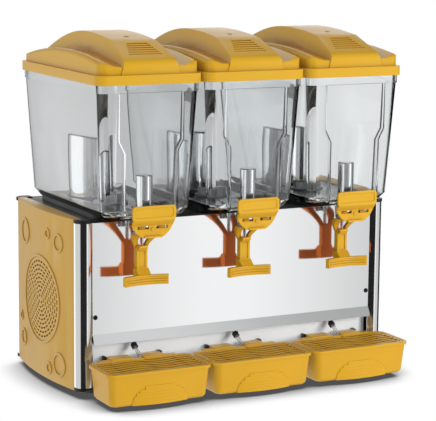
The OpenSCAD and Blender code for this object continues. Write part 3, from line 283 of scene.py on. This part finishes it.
@dataclass(frozen=True)
class Finish:
    """A procedural surface finish, named after the record's material slot or after its use.

    The colours bounced, mirrored and glassed are painted light and shade in place of the colour in bounced
    light, in reflections and behind clear pieces. The crease colour is painted shade in narrow places, and
    its reach is in metres.
    """

    slot: str
    color: Color
    roughness: float = 0.4
    metallic: float = 0.0
    specular: float = 0.5
    transmission: float = 0.0
    ior: float = 1.5
    grain_scale: float = 500.0
    spread: float = 0.1
    tone: float = 0.06
    bump: float = 0.06
    # painted light and shade: colours in bounced light, in reflections and behind clear pieces
    bounced: Color | None = None
    mirrored: Color | None = None
    glassed: Color | None = None
    # painted shade: a darker colour in the piece's own narrow places, by ambient occlusion
    crease: Color | None = None
    crease_reach: float = 0.03
    crease_full: float = 0.1
    crease_none: float = 1.0

    def creased(self, tree: bpy.types.NodeTree, shown: bpy.types.NodeSocket) -> bpy.types.NodeSocket:
        """Paints shade: lets a colour turn into the darker crease colour in narrow places.

        Args:
            tree: The material's tree.
            shown: The colour in the open.

        Returns:
            The colour with its painted crease shade.
        """
        if self.crease is None:
            return shown
        group = tree.nodes.new("ShaderNodeGroup")
        group.node_tree = NodeGroups.crease()
        for socket, value in (("Color", shown), ("Crease Shade", self.crease), ("Reach", self.crease_reach),
                              ("Full", self.crease_full), ("None", self.crease_none)):
            feed(tree, group.inputs[socket], value)
        return group.outputs["Color"]

    def swapped(self, tree: bpy.types.NodeTree, shown: bpy.types.NodeSocket) -> bpy.types.NodeSocket:
        """Swaps in painted light and shade for rays that do not come straight from the camera.

        Args:
            tree: The material's tree.
            shown: The colour seen by the camera.

        Returns:
            The colour for every ray.
        """
        ray = tree.nodes.new("ShaderNodeLightPath")
        for kind, color in (("Is Diffuse Ray", self.bounced), ("Is Glossy Ray", self.mirrored),
                            ("Transmission Depth", self.glassed)):
            if color is not None:
                shown = blended(tree, "RGBA", ray.outputs[kind], shown, color)
        return shown

    def material(self) -> bpy.types.Material:
        """Builds the material once.

        Returns:
            The material of this finish.
        """
        name = "look_" + self.slot
        found = bpy.data.materials.get(name)
        if found:
            return found
        made = bpy.data.materials.new(name)
        made.use_nodes = True
        tree = made.node_tree
        grain, tint = tree.nodes.new("ShaderNodeGroup"), tree.nodes.new("ShaderNodeGroup")
        grain.node_tree, tint.node_tree = NodeGroups.grain(), NodeGroups.tint()
        for socket, value in (("Scale", self.grain_scale), ("Roughness", self.roughness),
                              ("Spread", self.spread), ("Tone", self.tone), ("Bump", self.bump)):
            grain.inputs[socket].default_value = value
        feed(tree, tint.inputs["Color"], self.color)
        feed(tree, tint.inputs["Tone"], grain.outputs["Tone"])
        shown = self.swapped(tree, self.creased(tree, tint.outputs["Color"]))
        shader = tree.nodes["Principled BSDF"]
        for socket, value in (("Base Color", shown), ("Roughness", grain.outputs["Roughness"]),
                              ("Normal", grain.outputs["Normal"]), ("Metallic", self.metallic),
                              ("Specular IOR Level", self.specular),
                              ("Transmission Weight", self.transmission), ("IOR", self.ior)):
            feed(tree, shader.inputs[socket], value)
        return made


# The crease colours are painted shade; bounced, mirrored and glassed are painted light and shade for other
# rays.
FINISHES = {finish.slot: finish for finish in (
    Finish("lid_yellow", (0.79, 0.44, 0.017), 0.36, grain_scale=900.0, bump=0.08,
           bounced=(0.66, 0.60, 0.50), mirrored=(1.0, 0.25, 0.04), glassed=(0.34, 0.32, 0.29),
           crease=(0.20, 0.05, 0.003)),
    # The lever's mirrored colour, above white, is a painted reflection that shows it brighter in the front
    # panel.
    Finish("lever_yellow", (0.83, 0.46, 0.017), 0.34, grain_scale=900.0, bump=0.06,
           bounced=(0.66, 0.60, 0.50), mirrored=(1.5, 0.40, 0.08), glassed=(0.34, 0.32, 0.29),
           crease=(0.28, 0.07, 0.003), crease_reach=0.02, crease_full=0.3),
    Finish("tray_yellow", (0.79, 0.42, 0.011), 0.36, grain_scale=900.0, bump=0.08,
           bounced=(0.66, 0.62, 0.56), mirrored=(0.80, 0.56, 0.28),
           crease=(0.13, 0.026, 0.002), crease_reach=0.022, crease_full=0.2, crease_none=0.62),
    Finish("grid_yellow", (0.83, 0.44, 0.013), 0.36, grain_scale=900.0, bump=0.08,
           bounced=(0.66, 0.62, 0.56), mirrored=(0.80, 0.56, 0.28),
           crease=(0.10, 0.02, 0.002), crease_reach=0.022, crease_full=0.5),
    Finish("panel_orange", (0.755, 0.445, 0.08), 0.40, grain_scale=900.0, bump=0.1,
           crease=(0.26, 0.10, 0.01)),
    Finish("pale_paint", (0.96, 0.965, 0.97), 0.5, specular=0.2, spread=0.05, tone=0.03, bump=0.03,
           crease=(0.05, 0.05, 0.052), crease_reach=0.006, crease_full=0.35),
    Finish("clear_bowl", (0.97, 0.985, 0.99), 0.02, transmission=1.0, ior=1.49, spread=0.01, tone=0.01,
           bump=0.0),
    Finish("bright_steel", (0.80, 0.81, 0.815), 0.085, metallic=1.0, spread=0.03, tone=0.03, bump=0.02,
           bounced=(0.92, 0.92, 0.92)),
    Finish("post_chrome", (0.90, 0.905, 0.91), 0.12, metallic=1.0, spread=0.03, tone=0.03, bump=0.01,
           bounced=(0.36, 0.36, 0.36)),
    Finish("black_plastic", (0.012, 0.012, 0.013), 0.45, spread=0.15, bump=0.15),
    Finish("black_rubber", (0.016, 0.016, 0.017), 0.7, spread=0.15, bump=0.2),
    Finish("dark_paint", (0.02, 0.02, 0.022), 0.4, spread=0.15),
    Finish("grey_paint", (0.16, 0.17, 0.18), 0.4, spread=0.15),
    Finish("fin_aluminium", (0.62, 0.64, 0.66), 0.35, metallic=1.0),
    Finish("copper", (0.60, 0.28, 0.13), 0.3, metallic=1.0),
    Finish("white_plastic", (0.78, 0.80, 0.81), 0.35, spread=0.1),
    Finish("clear_tube", (0.93, 0.95, 0.96), 0.1, transmission=0.9, ior=1.45, spread=0.05, bump=0.02),
    Finish("red_plastic", (0.42, 0.02, 0.02), 0.35),
    Finish("green_plastic", (0.03, 0.22, 0.05), 0.35),
)}


@dataclass
class Dresser:
    """Turns CAD nodes into finished pieces: rounded edges, smooth curves and a finish.

    Slots names each node's material slot in the record, and looks the finish where it is not the slot's own.
    Points closer than merge, in metres, become one. Angles are in degrees.
    """

    nodes: dict[str, bpy.types.Object]
    slots: dict[str, str]
    looks: dict[str, str]
    merge: float = 2e-6
    flat_angle: float = 0.4
    round_angle: float = 32.0
    smooth_angle: float = 30.0
    made_angle: float = 32.0

    def finish(self, name: str) -> bpy.types.Material:
        """Finds the material of a CAD node."""
        return FINISHES[self.looks.get(name, self.slots[name])].material()

    def paint(self, name: str) -> None:
        """Gives a carried-over CAD node its finish.

        Args:
            name: The CAD node.
        """
        data = self.nodes[name].data
        data.materials.clear()
        data.materials.append(self.finish(name))
        log.info("painted %s", name)

    def rounded(self, name: str, width: float, segments: int) -> None:
        """Builds a piece that stands for a CAD node with its edges rounded.

        Args:
            name: The CAD node.
            width: Width of the rounding in millimetres.
            segments: Steps in the rounding.
        """
        source = self.nodes[name]
        data = bpy.data.meshes.new("look_" + name)
        work = bmesh.new()
        work.from_mesh(source.data)
        bmesh.ops.remove_doubles(work, verts=work.verts, dist=self.merge)
        bmesh.ops.dissolve_limit(work, angle_limit=math.radians(self.flat_angle), verts=work.verts,
                                 edges=work.edges)
        work.to_mesh(data)
        work.free()
        piece = bpy.data.objects.new("look_" + name, data)
        bpy.context.scene.collection.objects.link(piece)
        bevel = piece.modifiers.new("round", "BEVEL")
        bevel.width = width * MM
        bevel.segments = segments
        bevel.limit_method = "ANGLE"
        bevel.angle_limit = math.radians(self.round_angle)
        graph = bpy.context.evaluated_depsgraph_get()
        baked = bpy.data.meshes.new_from_object(piece.evaluated_get(graph))
        piece.modifiers.clear()
        piece.data = baked
        self.smooth(baked, self.smooth_angle)
        baked.materials.clear()
        baked.materials.append(self.finish(name))
        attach(piece, source["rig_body"])
        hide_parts(name)
        log.info("dressed %s: %d faces", name, len(baked.polygons))

    def piece(self, name: str, data: bpy.types.Mesh, node: str) -> None:
        """Puts a made mesh in the place of a CAD node.

        Args:
            name: The new piece's name.
            data: Its mesh, in the frame.
            node: The CAD node it stands for.
        """
        made = bpy.data.objects.new(name, data)
        bpy.context.scene.collection.objects.link(made)
        self.smooth(data, self.made_angle)
        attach(made, self.nodes[node]["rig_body"])
        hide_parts(node)
        log.info("made %s: %d faces", name, len(data.polygons))

    @staticmethod
    def smooth(data: bpy.types.Mesh, angle: float) -> None:
        """Shades a mesh smoothly, apart from edges that are sharper than an angle in degrees."""
        data.polygons.foreach_set("use_smooth", [True] * len(data.polygons))
        data.set_sharp_from_angle(angle=math.radians(angle))


class NodeTree:
    """A Geometry Nodes tree under construction, with named inputs."""

    def __init__(self, name: str) -> None:
        """Starts an empty tree.

        Args:
            name: The tree's name.
        """
        self.tree = bpy.data.node_groups.new(name, "GeometryNodeTree")
        self.tree.is_modifier = True
        self.sockets: dict[str, str] = {}
        self.tree.interface.new_socket(name="Geometry", in_out="OUTPUT", socket_type="NodeSocketGeometry")
        self.start = self.node("NodeGroupInput")
        self.end = self.node("NodeGroupOutput")

    def node(self, kind: str, **values: Fed) -> bpy.types.Node:
        """Adds a node.

        Args:
            kind: The node's type.
            values: A value for each input, named as the input is with a low line for each space.

        Returns:
            The node.
        """
        made = self.tree.nodes.new(kind)
        for name, value in values.items():
            feed(self.tree, made.inputs[name.replace("_", " ")], value)
        return made

    def number(self, name: str, kind: str = "NodeSocketFloat") -> bpy.types.NodeSocket:
        """Adds a named input.

        Args:
            name: The input's name.
            kind: The socket's type.

        Returns:
            The group input's socket to link from.
        """
        made = self.tree.interface.new_socket(name=name, in_out="INPUT", socket_type=kind)
        self.sockets[name] = made.identifier
        return self.start.outputs[name]

    def math(self, operation: str, *values: Fed) -> bpy.types.NodeSocket:
        """Adds a maths node, with outputs or numbers for its inputs, and gives its result."""
        return maths(self.tree, operation, *values)

    def times(self, value: bpy.types.NodeSocket, factor: Fed) -> bpy.types.NodeSocket:
        """Multiplies a value by an output or a number."""
        return self.math("MULTIPLY", value, factor)

    def vector(self, x: Fed = 0.0, y: Fed = 0.0, z: Fed = 0.0) -> bpy.types.NodeSocket:
        """Adds a vector made of three outputs or numbers."""
        return self.node("ShaderNodeCombineXYZ", X=x, Y=y, Z=z).outputs[0]

    def cube(self, size: bpy.types.NodeSocket) -> bpy.types.NodeSocket:
        """Adds a box of a size about the middle."""
        return self.node("GeometryNodeMeshCube", Size=size).outputs["Mesh"]

    def moved(self, geometry: bpy.types.NodeSocket, by: bpy.types.NodeSocket) -> bpy.types.NodeSocket:
        """Moves a shape along a vector."""
        return self.node("GeometryNodeTransform", Geometry=geometry, Translation=by).outputs["Geometry"]

    def outline(self, width: Fed, depth: Fed, radius: Fed, steps: int) -> bpy.types.NodeSocket:
        """Adds a rectangle with rounded corners.

        Args:
            width: Its width.
            depth: Its depth.
            radius: Corner radius.
            steps: Steps in each corner.

        Returns:
            The outline's curve.
        """
        flat = self.node("GeometryNodeCurvePrimitiveQuadrilateral", Width=width, Height=depth)
        soft = self.tree.nodes.new("GeometryNodeFilletCurve")
        soft.mode = "POLY"
        for name, value in (("Curve", flat.outputs["Curve"]), ("Radius", radius), ("Count", steps)):
            feed(self.tree, soft.inputs[name], value)
        return soft.outputs["Curve"]

    def sweep(self, path: bpy.types.NodeSocket, profile: bpy.types.NodeSocket) -> bpy.types.NodeSocket:
        """Sweeps a profile's curve along a path's curve into a mesh with closed ends."""
        made = self.node("GeometryNodeCurveToMesh", Curve=path, Profile_Curve=profile, Fill_Caps=True)
        return made.outputs["Mesh"]

    def row(self, count: Fed, start: bpy.types.NodeSocket, step: bpy.types.NodeSocket,
            shape: bpy.types.NodeSocket) -> bpy.types.NodeSocket:
        """Repeats a shape along a line.

        Args:
            count: How many.
            start: The first place.
            step: The way from each to the next.
            shape: What is repeated.

        Returns:
            The instances.
        """
        line = self.node("GeometryNodeMeshLine", Count=count, Start_Location=start, Offset=step)
        made = self.node("GeometryNodeInstanceOnPoints", Points=line.outputs["Mesh"], Instance=shape)
        return made.outputs["Instances"]

    def cut(self, shape: bpy.types.NodeSocket, tool: bpy.types.NodeSocket) -> bpy.types.NodeSocket:
        """Cuts one shape out of another.

        Args:
            shape: What is cut.
            tool: What is taken away.

        Returns:
            What is left.
        """
        made = self.tree.nodes.new("GeometryNodeMeshBoolean")
        made.operation = "DIFFERENCE"
        feed(self.tree, made.inputs["Mesh 1"], shape)
        feed(self.tree, made.inputs["Mesh 2"], tool)
        return made.outputs["Mesh"]

    def joined(self, *parts: bpy.types.NodeSocket) -> bpy.types.NodeSocket:
        """Joins shapes.

        Args:
            parts: The shapes.

        Returns:
            All of them together.
        """
        made = self.node("GeometryNodeJoinGeometry")
        for part in parts:
            feed(self.tree, made.inputs[0], part)
        return made.outputs[0]

    def close(self, geometry: bpy.types.NodeSocket, material: bpy.types.Material) -> None:
        """Realizes the instances, gives them a material and ends the tree.

        Args:
            geometry: What the tree has made.
            material: The finish.
        """
        real = self.node("GeometryNodeRealizeInstances", Geometry=geometry)
        paint = self.node("GeometryNodeSetMaterial", Geometry=real.outputs["Geometry"])
        paint.inputs["Material"].default_value = material
        feed(self.tree, self.end.inputs["Geometry"], paint.outputs["Geometry"])

    def bake(self, name: str, values: dict[str, float]) -> bpy.types.Mesh:
        """Runs the tree once and keeps its mesh.

        Args:
            name: The mesh's name.
            values: A value for each named input.

        Returns:
            The mesh.
        """
        holder = bpy.data.objects.new(name, bpy.data.meshes.new(name))
        bpy.context.scene.collection.objects.link(holder)
        run = holder.modifiers.new("run", "NODES")
        run.node_group = self.tree
        for key, value in values.items():
            run[self.sockets[key]] = value
        graph = bpy.context.evaluated_depsgraph_get()
        made = bpy.data.meshes.new_from_object(holder.evaluated_get(graph))
        bpy.data.objects.remove(holder)
        return made


@dataclass
class PanelScrews:
    """The two screws of the front panel, with cross recesses. Sizes are in millimetres."""

    dresser: Dresser
    head_r: float = 4.4
    rise: float = 2.7
    half_span: float = 280.3
    height: float = 146.0
    slot_length: float = 1.1  # share of the head's radius
    slot_width: float = 0.26  # share of the head's radius
    segments: int = 40
    rings: int = 20

    def tree(self) -> NodeTree:
        """Builds the node tree.

        Returns:
            A tree that repeats one screw along the panel.
        """
        tree = NodeTree("Panel Screws")
        radius, rise, span = tree.number("Radius"), tree.number("Rise"), tree.number("Half Span")
        ball = tree.node("GeometryNodeMeshUVSphere", Segments=self.segments, Rings=self.rings, Radius=1.0)
        squash = tree.node("GeometryNodeTransform", Geometry=ball.outputs["Mesh"],
                           Scale=tree.vector(radius, rise, radius))
        arm, slot = tree.times(radius, self.slot_length), tree.times(radius, self.slot_width)
        out = tree.vector(0.0, tree.times(rise, -1.0), 0.0)
        head = squash.outputs["Geometry"]
        for size in (tree.vector(arm, rise, slot), tree.vector(slot, rise, arm)):
            head = tree.cut(head, tree.moved(tree.cube(size), out))
        first, step = tree.vector(tree.times(span, -1.0)), tree.vector(tree.times(span, 2.0))
        tree.close(tree.row(2, first, step, head), self.dresser.finish("panel_screws"))
        return tree

    def build(self) -> None:
        """Makes the screws in their holes."""
        data = self.tree().bake("panel_screw_heads", {
            "Radius": self.head_r * MM, "Rise": self.rise * MM, "Half Span": self.half_span * MM})
        data.transform(Matrix.Translation(place(0.0, 0.0, self.height)))
        self.dresser.piece("panel_screw_heads", data, "panel_screws")


@dataclass
class WavyGrid:
    """The grid of rippled slats that lies in a drip tray. Sizes are in millimetres."""

    dresser: Dresser
    slats: int = 6
    width: float = 188.0
    depth: float = 86.0
    bar: float = 5.0
    bar_round: float = 1.3
    bar_steps: int = 3
    thick: float = 5.0
    wave: float = 8.0
    half_waves: int = 3
    wave_points: int = 61
    corner: float = 6.0
    corner_steps: int = 8
    notch: float = 11.0
    rods: int = 3
    rod: float = 4.0
    middle_y: float = -67.5
    middle_z: float = 66.3

    def slat(self, tree: NodeTree, width: bpy.types.NodeSocket, bar: bpy.types.NodeSocket,
             wave: bpy.types.NodeSocket, profile: bpy.types.NodeSocket) -> bpy.types.NodeSocket:
        """Adds one slat, whose wave calms down towards both ends.

        Args:
            tree: The grid's tree.
            width: The grid's width.
            bar: The slat's width.
            wave: The wave's height.
            profile: The slat's profile.

        Returns:
            The slat's mesh.
        """
        reach = tree.times(tree.math("SUBTRACT", width, bar), 0.5)
        line = tree.node("GeometryNodeCurvePrimitiveLine", Start=tree.vector(tree.times(reach, -1.0)),
                         End=tree.vector(reach))
        fine = tree.node("GeometryNodeResampleCurve", Curve=line.outputs["Curve"], Count=self.wave_points)
        at = tree.node("GeometryNodeInputPosition")
        split = tree.node("ShaderNodeSeparateXYZ", Vector=at.outputs[0])
        share = tree.math("DIVIDE", split.outputs["X"], width)
        calm = tree.math("COSINE", tree.times(share, math.pi))
        swing = tree.math("SINE", tree.times(share, self.half_waves * math.pi))
        lift = tree.times(tree.times(calm, calm), swing)
        bend = tree.node("GeometryNodeSetPosition", Geometry=fine.outputs["Curve"],
                         Offset=tree.vector(0.0, tree.times(tree.times(lift, wave), -1.0)))
        return tree.sweep(bend.outputs["Geometry"], profile)

    def tree(self) -> NodeTree:
        """Builds the node tree.

        Returns:
            A tree that makes a notched frame, cross rods and a row of wavy slats.
        """
        tree = NodeTree("Wavy Grid")
        count = tree.number("Slats", "NodeSocketInt")
        width, depth, bar = tree.number("Width"), tree.number("Depth"), tree.number("Bar")
        thick, wave, corner, notch = (tree.number(n) for n in ("Thickness", "Wave", "Corner", "Notch"))
        profile = tree.outline(bar, thick, self.bar_round * MM, self.bar_steps)
        inner = tree.math("SUBTRACT", depth, tree.times(bar, 2.0))
        step = tree.math("DIVIDE", inner, count)
        first = tree.times(tree.math("SUBTRACT", step, inner), 0.5)
        slats = tree.row(count, tree.vector(0.0, first), tree.vector(0.0, step),
                         self.slat(tree, width, bar, wave, profile))
        long, short = tree.math("SUBTRACT", width, bar), tree.math("SUBTRACT", depth, bar)
        rim = tree.sweep(tree.outline(long, short, corner, self.corner_steps), profile)
        hole = tree.cube(tree.vector(tree.times(notch, 2.0), tree.times(bar, 4.0), tree.times(thick, 3.0)))
        notched = tree.cut(rim, tree.moved(hole, tree.vector(0.0, tree.times(depth, 0.5))))
        gap = tree.math("DIVIDE", width, float(self.rods))
        rod = tree.cube(tree.vector(self.rod * MM, short, tree.times(thick, 0.5)))
        left = tree.times(gap, 0.5 - 0.5 * self.rods)
        rods = tree.row(self.rods, tree.vector(left, 0.0, tree.times(thick, -0.25)), tree.vector(gap), rod)
        tree.close(tree.joined(rods, notched, slats), self.dresser.finish("grid_left"))
        return tree

    def build(self) -> None:
        """Makes the three grids."""
        made = self.tree().bake("grid", {
            "Slats": self.slats, "Width": self.width * MM, "Depth": self.depth * MM, "Bar": self.bar * MM,
            "Thickness": self.thick * MM, "Wave": self.wave * MM, "Corner": self.corner * MM,
            "Notch": self.notch * MM})
        for side in Side:
            data = made.copy()
            data.transform(Matrix.Translation(place(side.x, self.middle_y, self.middle_z)))
            self.dresser.piece(f"wavy_grid_{side.tag}", data, f"grid_{side.tag}")


@dataclass
class Cabinet:
    """Sheet metal, posts, side panels, deck and base. Roundings are in millimetres."""

    dresser: Dresser
    edge_steps: int = 2
    carried: Sequence[str] = ("base_pan", "rear_panel", "kick_panel", "feet", "cable_gland", "switch_bezels",
                              "cooling_rocker", "stirring_rocker", "front_posts", "rear_posts", "front_panel")
    rounded: dict[str, float] = field(default_factory=lambda: {
        "post_top_caps": 1.0, "post_foot_caps": 1.0, "top_deck": 1.2, "left_side_panel": 0.8,
        "right_side_panel": 0.8, "tray_hooks": 0.6, "drain_grommets": 0.5})

    def build(self) -> None:
        """Paints the carried nodes and rounds the others."""
        for name in self.carried:
            self.dresser.paint(name)
        for name, width in self.rounded.items():
            self.dresser.rounded(name, width, self.edge_steps)
        log.info("cabinet dressed")


@dataclass
class CoolingUnit:
    """The pieces inside the cabinet, the drain tubes and the cylinders' seals."""

    dresser: Dresser
    carried: Sequence[str] = ("stirrer_motors", "compressor", "condenser", "fan_shroud", "fan_motor",
                              "fan_blades", "refrigerant_pipes", "control_box", "drain_tubes",
                              "evaporator_seals")

    def build(self) -> None:
        """Paints the carried nodes."""
        for name in self.carried:
            self.dresser.paint(name)
        log.info("cooling unit dressed")


@dataclass
class BowlUnit:
    """One bowl with its lid, tap, cooling cylinder and stirrer. Roundings are in millimetres."""

    dresser: Dresser
    side: Side
    lid_edge: float = 4.0
    lid_steps: int = 4
    bowl_edge: float = 1.8
    bowl_steps: int = 4
    lever_edge: float = 0.9
    lever_steps: int = 3
    carried: Sequence[str] = ("evaporator", "stirrer", "lever_pin", "plunger", "valve_seal")

    def build(self) -> None:
        """Builds and paints the pieces of this bowl."""
        tag = self.side.tag
        self.dresser.rounded(f"lid_{tag}", self.lid_edge, self.lid_steps)
        self.dresser.rounded(f"bowl_{tag}", self.bowl_edge, self.bowl_steps)
        self.dresser.rounded(f"lever_{tag}", self.lever_edge, self.lever_steps)
        for name in self.carried:
            self.dresser.paint(f"{name}_{tag}")
        log.info("bowl %s dressed", tag)


@dataclass
class TrayUnit:
    """One drip tray. Roundings are in millimetres."""

    dresser: Dresser
    side: Side
    edge: float = 1.2
    edge_steps: int = 3

    def build(self) -> None:
        """Builds the tray."""
        self.dresser.rounded(f"tray_{self.side.tag}", self.edge, self.edge_steps)
        log.info("tray %s dressed", self.side.tag)


@dataclass(frozen=True)
class Band:
    """An upright band of the studio.

    Its direction and half width are in degrees, the core is the even share of its width, and the level
    multiplies the light there.
    """

    angle: float
    half_width: float
    core: float
    level: float


@dataclass(frozen=True)
class Lamp:
    """A soft square lamp, with places and size in metres and its power in watts."""

    name: str
    at: tuple[float, float, float]
    power: float
    aim: tuple[float, float, float] = (0.0, 0.0, 0.3)
    size: float = 1.6

    def build(self) -> None:
        """Hangs the lamp, unseen by the camera, in reflections and through clear pieces."""
        data = bpy.data.lights.new(self.name, "AREA")
        data.size = self.size
        data.energy = self.power
        lamp = bpy.data.objects.new(self.name, data)
        lamp.location = self.at
        lamp.visible_camera = False
        lamp.visible_glossy = False
        lamp.visible_transmission = False
        lamp.rotation_euler = (Vector(self.aim) - Vector(self.at)).to_track_quat("-Z", "Y").to_euler()
        bpy.context.scene.collection.objects.link(lamp)


@dataclass(frozen=True)
class Studio:
    """Floor, light and camera that match the photo's view.

    The camera's place is in millimetres from the front panel and its angles are in degrees. Levels of light
    are shares of white, and the floor and its shade are in metres.
    """

    camera_mm: tuple[float, float, float] = (-1512.0, -2861.0, 857.0)
    yaw: float = 27.25
    pitch: float = 9.44
    roll: float = 0.56
    lens: float = 148.6
    sensor: float = 36.0
    room: float = 0.27
    floor_half: float = 20.0
    floor_light: float = 0.62
    shade_reach: float = 0.12
    shade_full: float = 0.3
    shade_none: float = 0.78
    shade_dark: float = 0.08
    shade_rays: int = 24
    mirror: float = 0.66
    mirror_sky: float = 0.45
    sky_low: float = 0.1
    sky_high: float = 0.5
    through: float = 0.55
    mirror_bands: Sequence[Band] = (Band(19.0, 39.0, 0.9, 0.02), Band(-104.0, 27.0, 0.8, 0.03),
                                    Band(-27.5, 7.0, 0.0, 1.7), Band(152.0, 16.0, 0.5, 1.8),
                                    Band(-152.0, 16.0, 0.5, 2.8))
    through_bands: Sequence[Band] = (Band(19.0, 34.0, 0.6, 0.42), Band(-100.0, 30.0, 0.6, 0.05),
                                     Band(100.0, 44.0, 0.8, 2.3), Band(177.0, 20.0, 0.6, 0.1),
                                     Band(-36.0, 13.0, 0.4, 3.0), Band(-145.0, 9.0, 0.3, 1.5))
    lamps: Sequence[Lamp] = (Lamp("key", (1.9, -2.9, 0.85), 71.0), Lamp("fill", (-2.7, -1.0, 1.3), 24.5),
                             Lamp("back", (0.9, 3.0, 0.7), 34.0))

    def floor(self) -> None:
        """Lays a white floor that shows only the shade close to the machine and no place in reflections."""
        half = self.floor_half
        data = bpy.data.meshes.new("floor")
        data.from_pydata([(-half, -half, 0), (half, -half, 0), (half, half, 0), (-half, half, 0)], [],
                         [(0, 1, 2, 3)])
        ground = bpy.data.objects.new("floor", data)
        bpy.context.scene.collection.objects.link(ground)
        paint = bpy.data.materials.new("floor")
        paint.use_nodes = True
        tree = paint.node_tree
        nodes, links = tree.nodes, tree.links
        nodes.clear()
        ray, near = nodes.new("ShaderNodeLightPath"), nodes.new("ShaderNodeAmbientOcclusion")
        near.samples = self.shade_rays
        near.inputs["Distance"].default_value = self.shade_reach
        soft, glow = nodes.new("ShaderNodeMapRange"), nodes.new("ShaderNodeEmission")
        for name, value in (("Value", near.outputs["AO"]), ("From Min", self.shade_full),
                            ("From Max", self.shade_none), ("To Min", self.shade_dark), ("To Max", 1.0)):
            feed(tree, soft.inputs[name], value)
        level = blended(tree, "FLOAT", ray.outputs["Is Camera Ray"], self.floor_light, soft.outputs["Result"])
        links.new(level, glow.inputs["Strength"])
        hidden = maths(tree, "MAXIMUM", ray.outputs["Is Glossy Ray"], ray.outputs["Is Transmission Ray"])
        mix, open_air = nodes.new("ShaderNodeMixShader"), nodes.new("ShaderNodeBsdfTransparent")
        links.new(hidden, mix.inputs["Fac"])
        links.new(glow.outputs[0], mix.inputs[1])
        links.new(open_air.outputs[0], mix.inputs[2])
        links.new(mix.outputs[0], nodes.new("ShaderNodeOutputMaterial").inputs["Surface"])
        data.materials.append(paint)

    @staticmethod
    def banded(tree: bpy.types.NodeTree, light: Fed, bands: Sequence[Band]) -> bpy.types.NodeSocket:
        """Lays bands over a level of light.

        Args:
            tree: The world's tree.
            light: The level without bands.
            bands: The bands.

        Returns:
            The level with the bands.
        """
        coords = tree.nodes.new("ShaderNodeTexCoord")
        for band in bands:
            group = tree.nodes.new("ShaderNodeGroup")
            group.node_tree = NodeGroups.band()
            for name, value in (("Vector", coords.outputs["Generated"]), ("Angle", math.radians(band.angle)),
                                ("Half Width", math.radians(band.half_width)), ("Core", band.core),
                                ("Level", band.level)):
                feed(tree, group.inputs[name], value)
            light = maths(tree, "MULTIPLY", light, group.outputs["Factor"])
        return light

    def world(self) -> None:
        """White to the camera, a banded studio for reflections and clear pieces, and a dim room for light."""
        world = bpy.data.worlds.new("studio")
        bpy.context.scene.world = world
        world.use_nodes = True
        tree = world.node_tree
        nodes, links = tree.nodes, tree.links
        nodes.clear()
        out, glow = nodes.new("ShaderNodeOutputWorld"), nodes.new("ShaderNodeBackground")
        coords, ray = nodes.new("ShaderNodeTexCoord"), nodes.new("ShaderNodeLightPath")
        split, sky = nodes.new("ShaderNodeSeparateXYZ"), nodes.new("ShaderNodeMapRange")
        links.new(coords.outputs["Generated"], split.inputs[0])
        for name, value in (("Value", split.outputs["Z"]), ("From Min", self.sky_low),
                            ("From Max", self.sky_high), ("To Min", self.mirror),
                            ("To Max", self.mirror_sky)):
            feed(tree, sky.inputs[name], value)
        mirrored = self.banded(tree, sky.outputs["Result"], self.mirror_bands)
        through = self.banded(tree, self.through, self.through_bands)
        behind = maths(tree, "MULTIPLY", ray.outputs["Is Glossy Ray"], ray.outputs["Transmission Depth"])
        seen = maths(tree, "MAXIMUM", behind, ray.outputs["Is Transmission Ray"])
        level = self.room
        for share, lit in ((ray.outputs["Is Glossy Ray"], mirrored), (seen, through),
                           (ray.outputs["Is Camera Ray"], 1.0)):
            level = blended(tree, "FLOAT", share, level, lit)
        links.new(level, glow.inputs["Strength"])
        feed(tree, glow.inputs["Color"], (1.0, 1.0, 1.0))
        links.new(glow.outputs[0], out.inputs["Surface"])

    def camera(self) -> None:
        """Places the camera where the photo was taken."""
        data = bpy.data.cameras.new("camera")
        data.sensor_width = self.sensor
        data.lens = self.lens
        cam = bpy.data.objects.new("camera", data)
        a, e = math.radians(self.yaw), math.radians(self.pitch)
        ahead = Vector((math.sin(a) * math.cos(e), math.cos(a) * math.cos(e), -math.sin(e)))
        turn = ahead.to_track_quat("-Z", "Y").to_matrix().to_4x4()
        cam.matrix_world = Matrix.Translation(place(*self.camera_mm)) @ turn @ Matrix.Rotation(
            math.radians(self.roll), 4, "Z")
        bpy.context.scene.collection.objects.link(cam)
        bpy.context.scene.camera = cam

    def build(self) -> None:
        """Builds the whole stage."""
        self.floor()
        self.world()
        for lamp in self.lamps:
            lamp.build()
        self.camera()
        bpy.context.scene.view_settings.view_transform = "Standard"
        log.info("stage set")


def main() -> None:
    logging.basicConfig(level=logging.INFO, format="%(message)s")
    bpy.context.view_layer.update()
    slots = {row["node"]: row["material_slot"] for row in frame["record"]["subparts"]}
    looks = {f"{kind}_{side.tag}": f"{kind}_yellow" for kind in ("tray", "grid", "lever") for side in Side}
    dresser = Dresser(frame["nodes"], slots, looks)
    Cabinet(dresser).build()
    CoolingUnit(dresser).build()
    PanelScrews(dresser).build()
    WavyGrid(dresser).build()
    for side in Side:
        BowlUnit(dresser, side).build()
        TrayUnit(dresser, side).build()
    Studio().build()


if __name__ == "__main__":
    main()
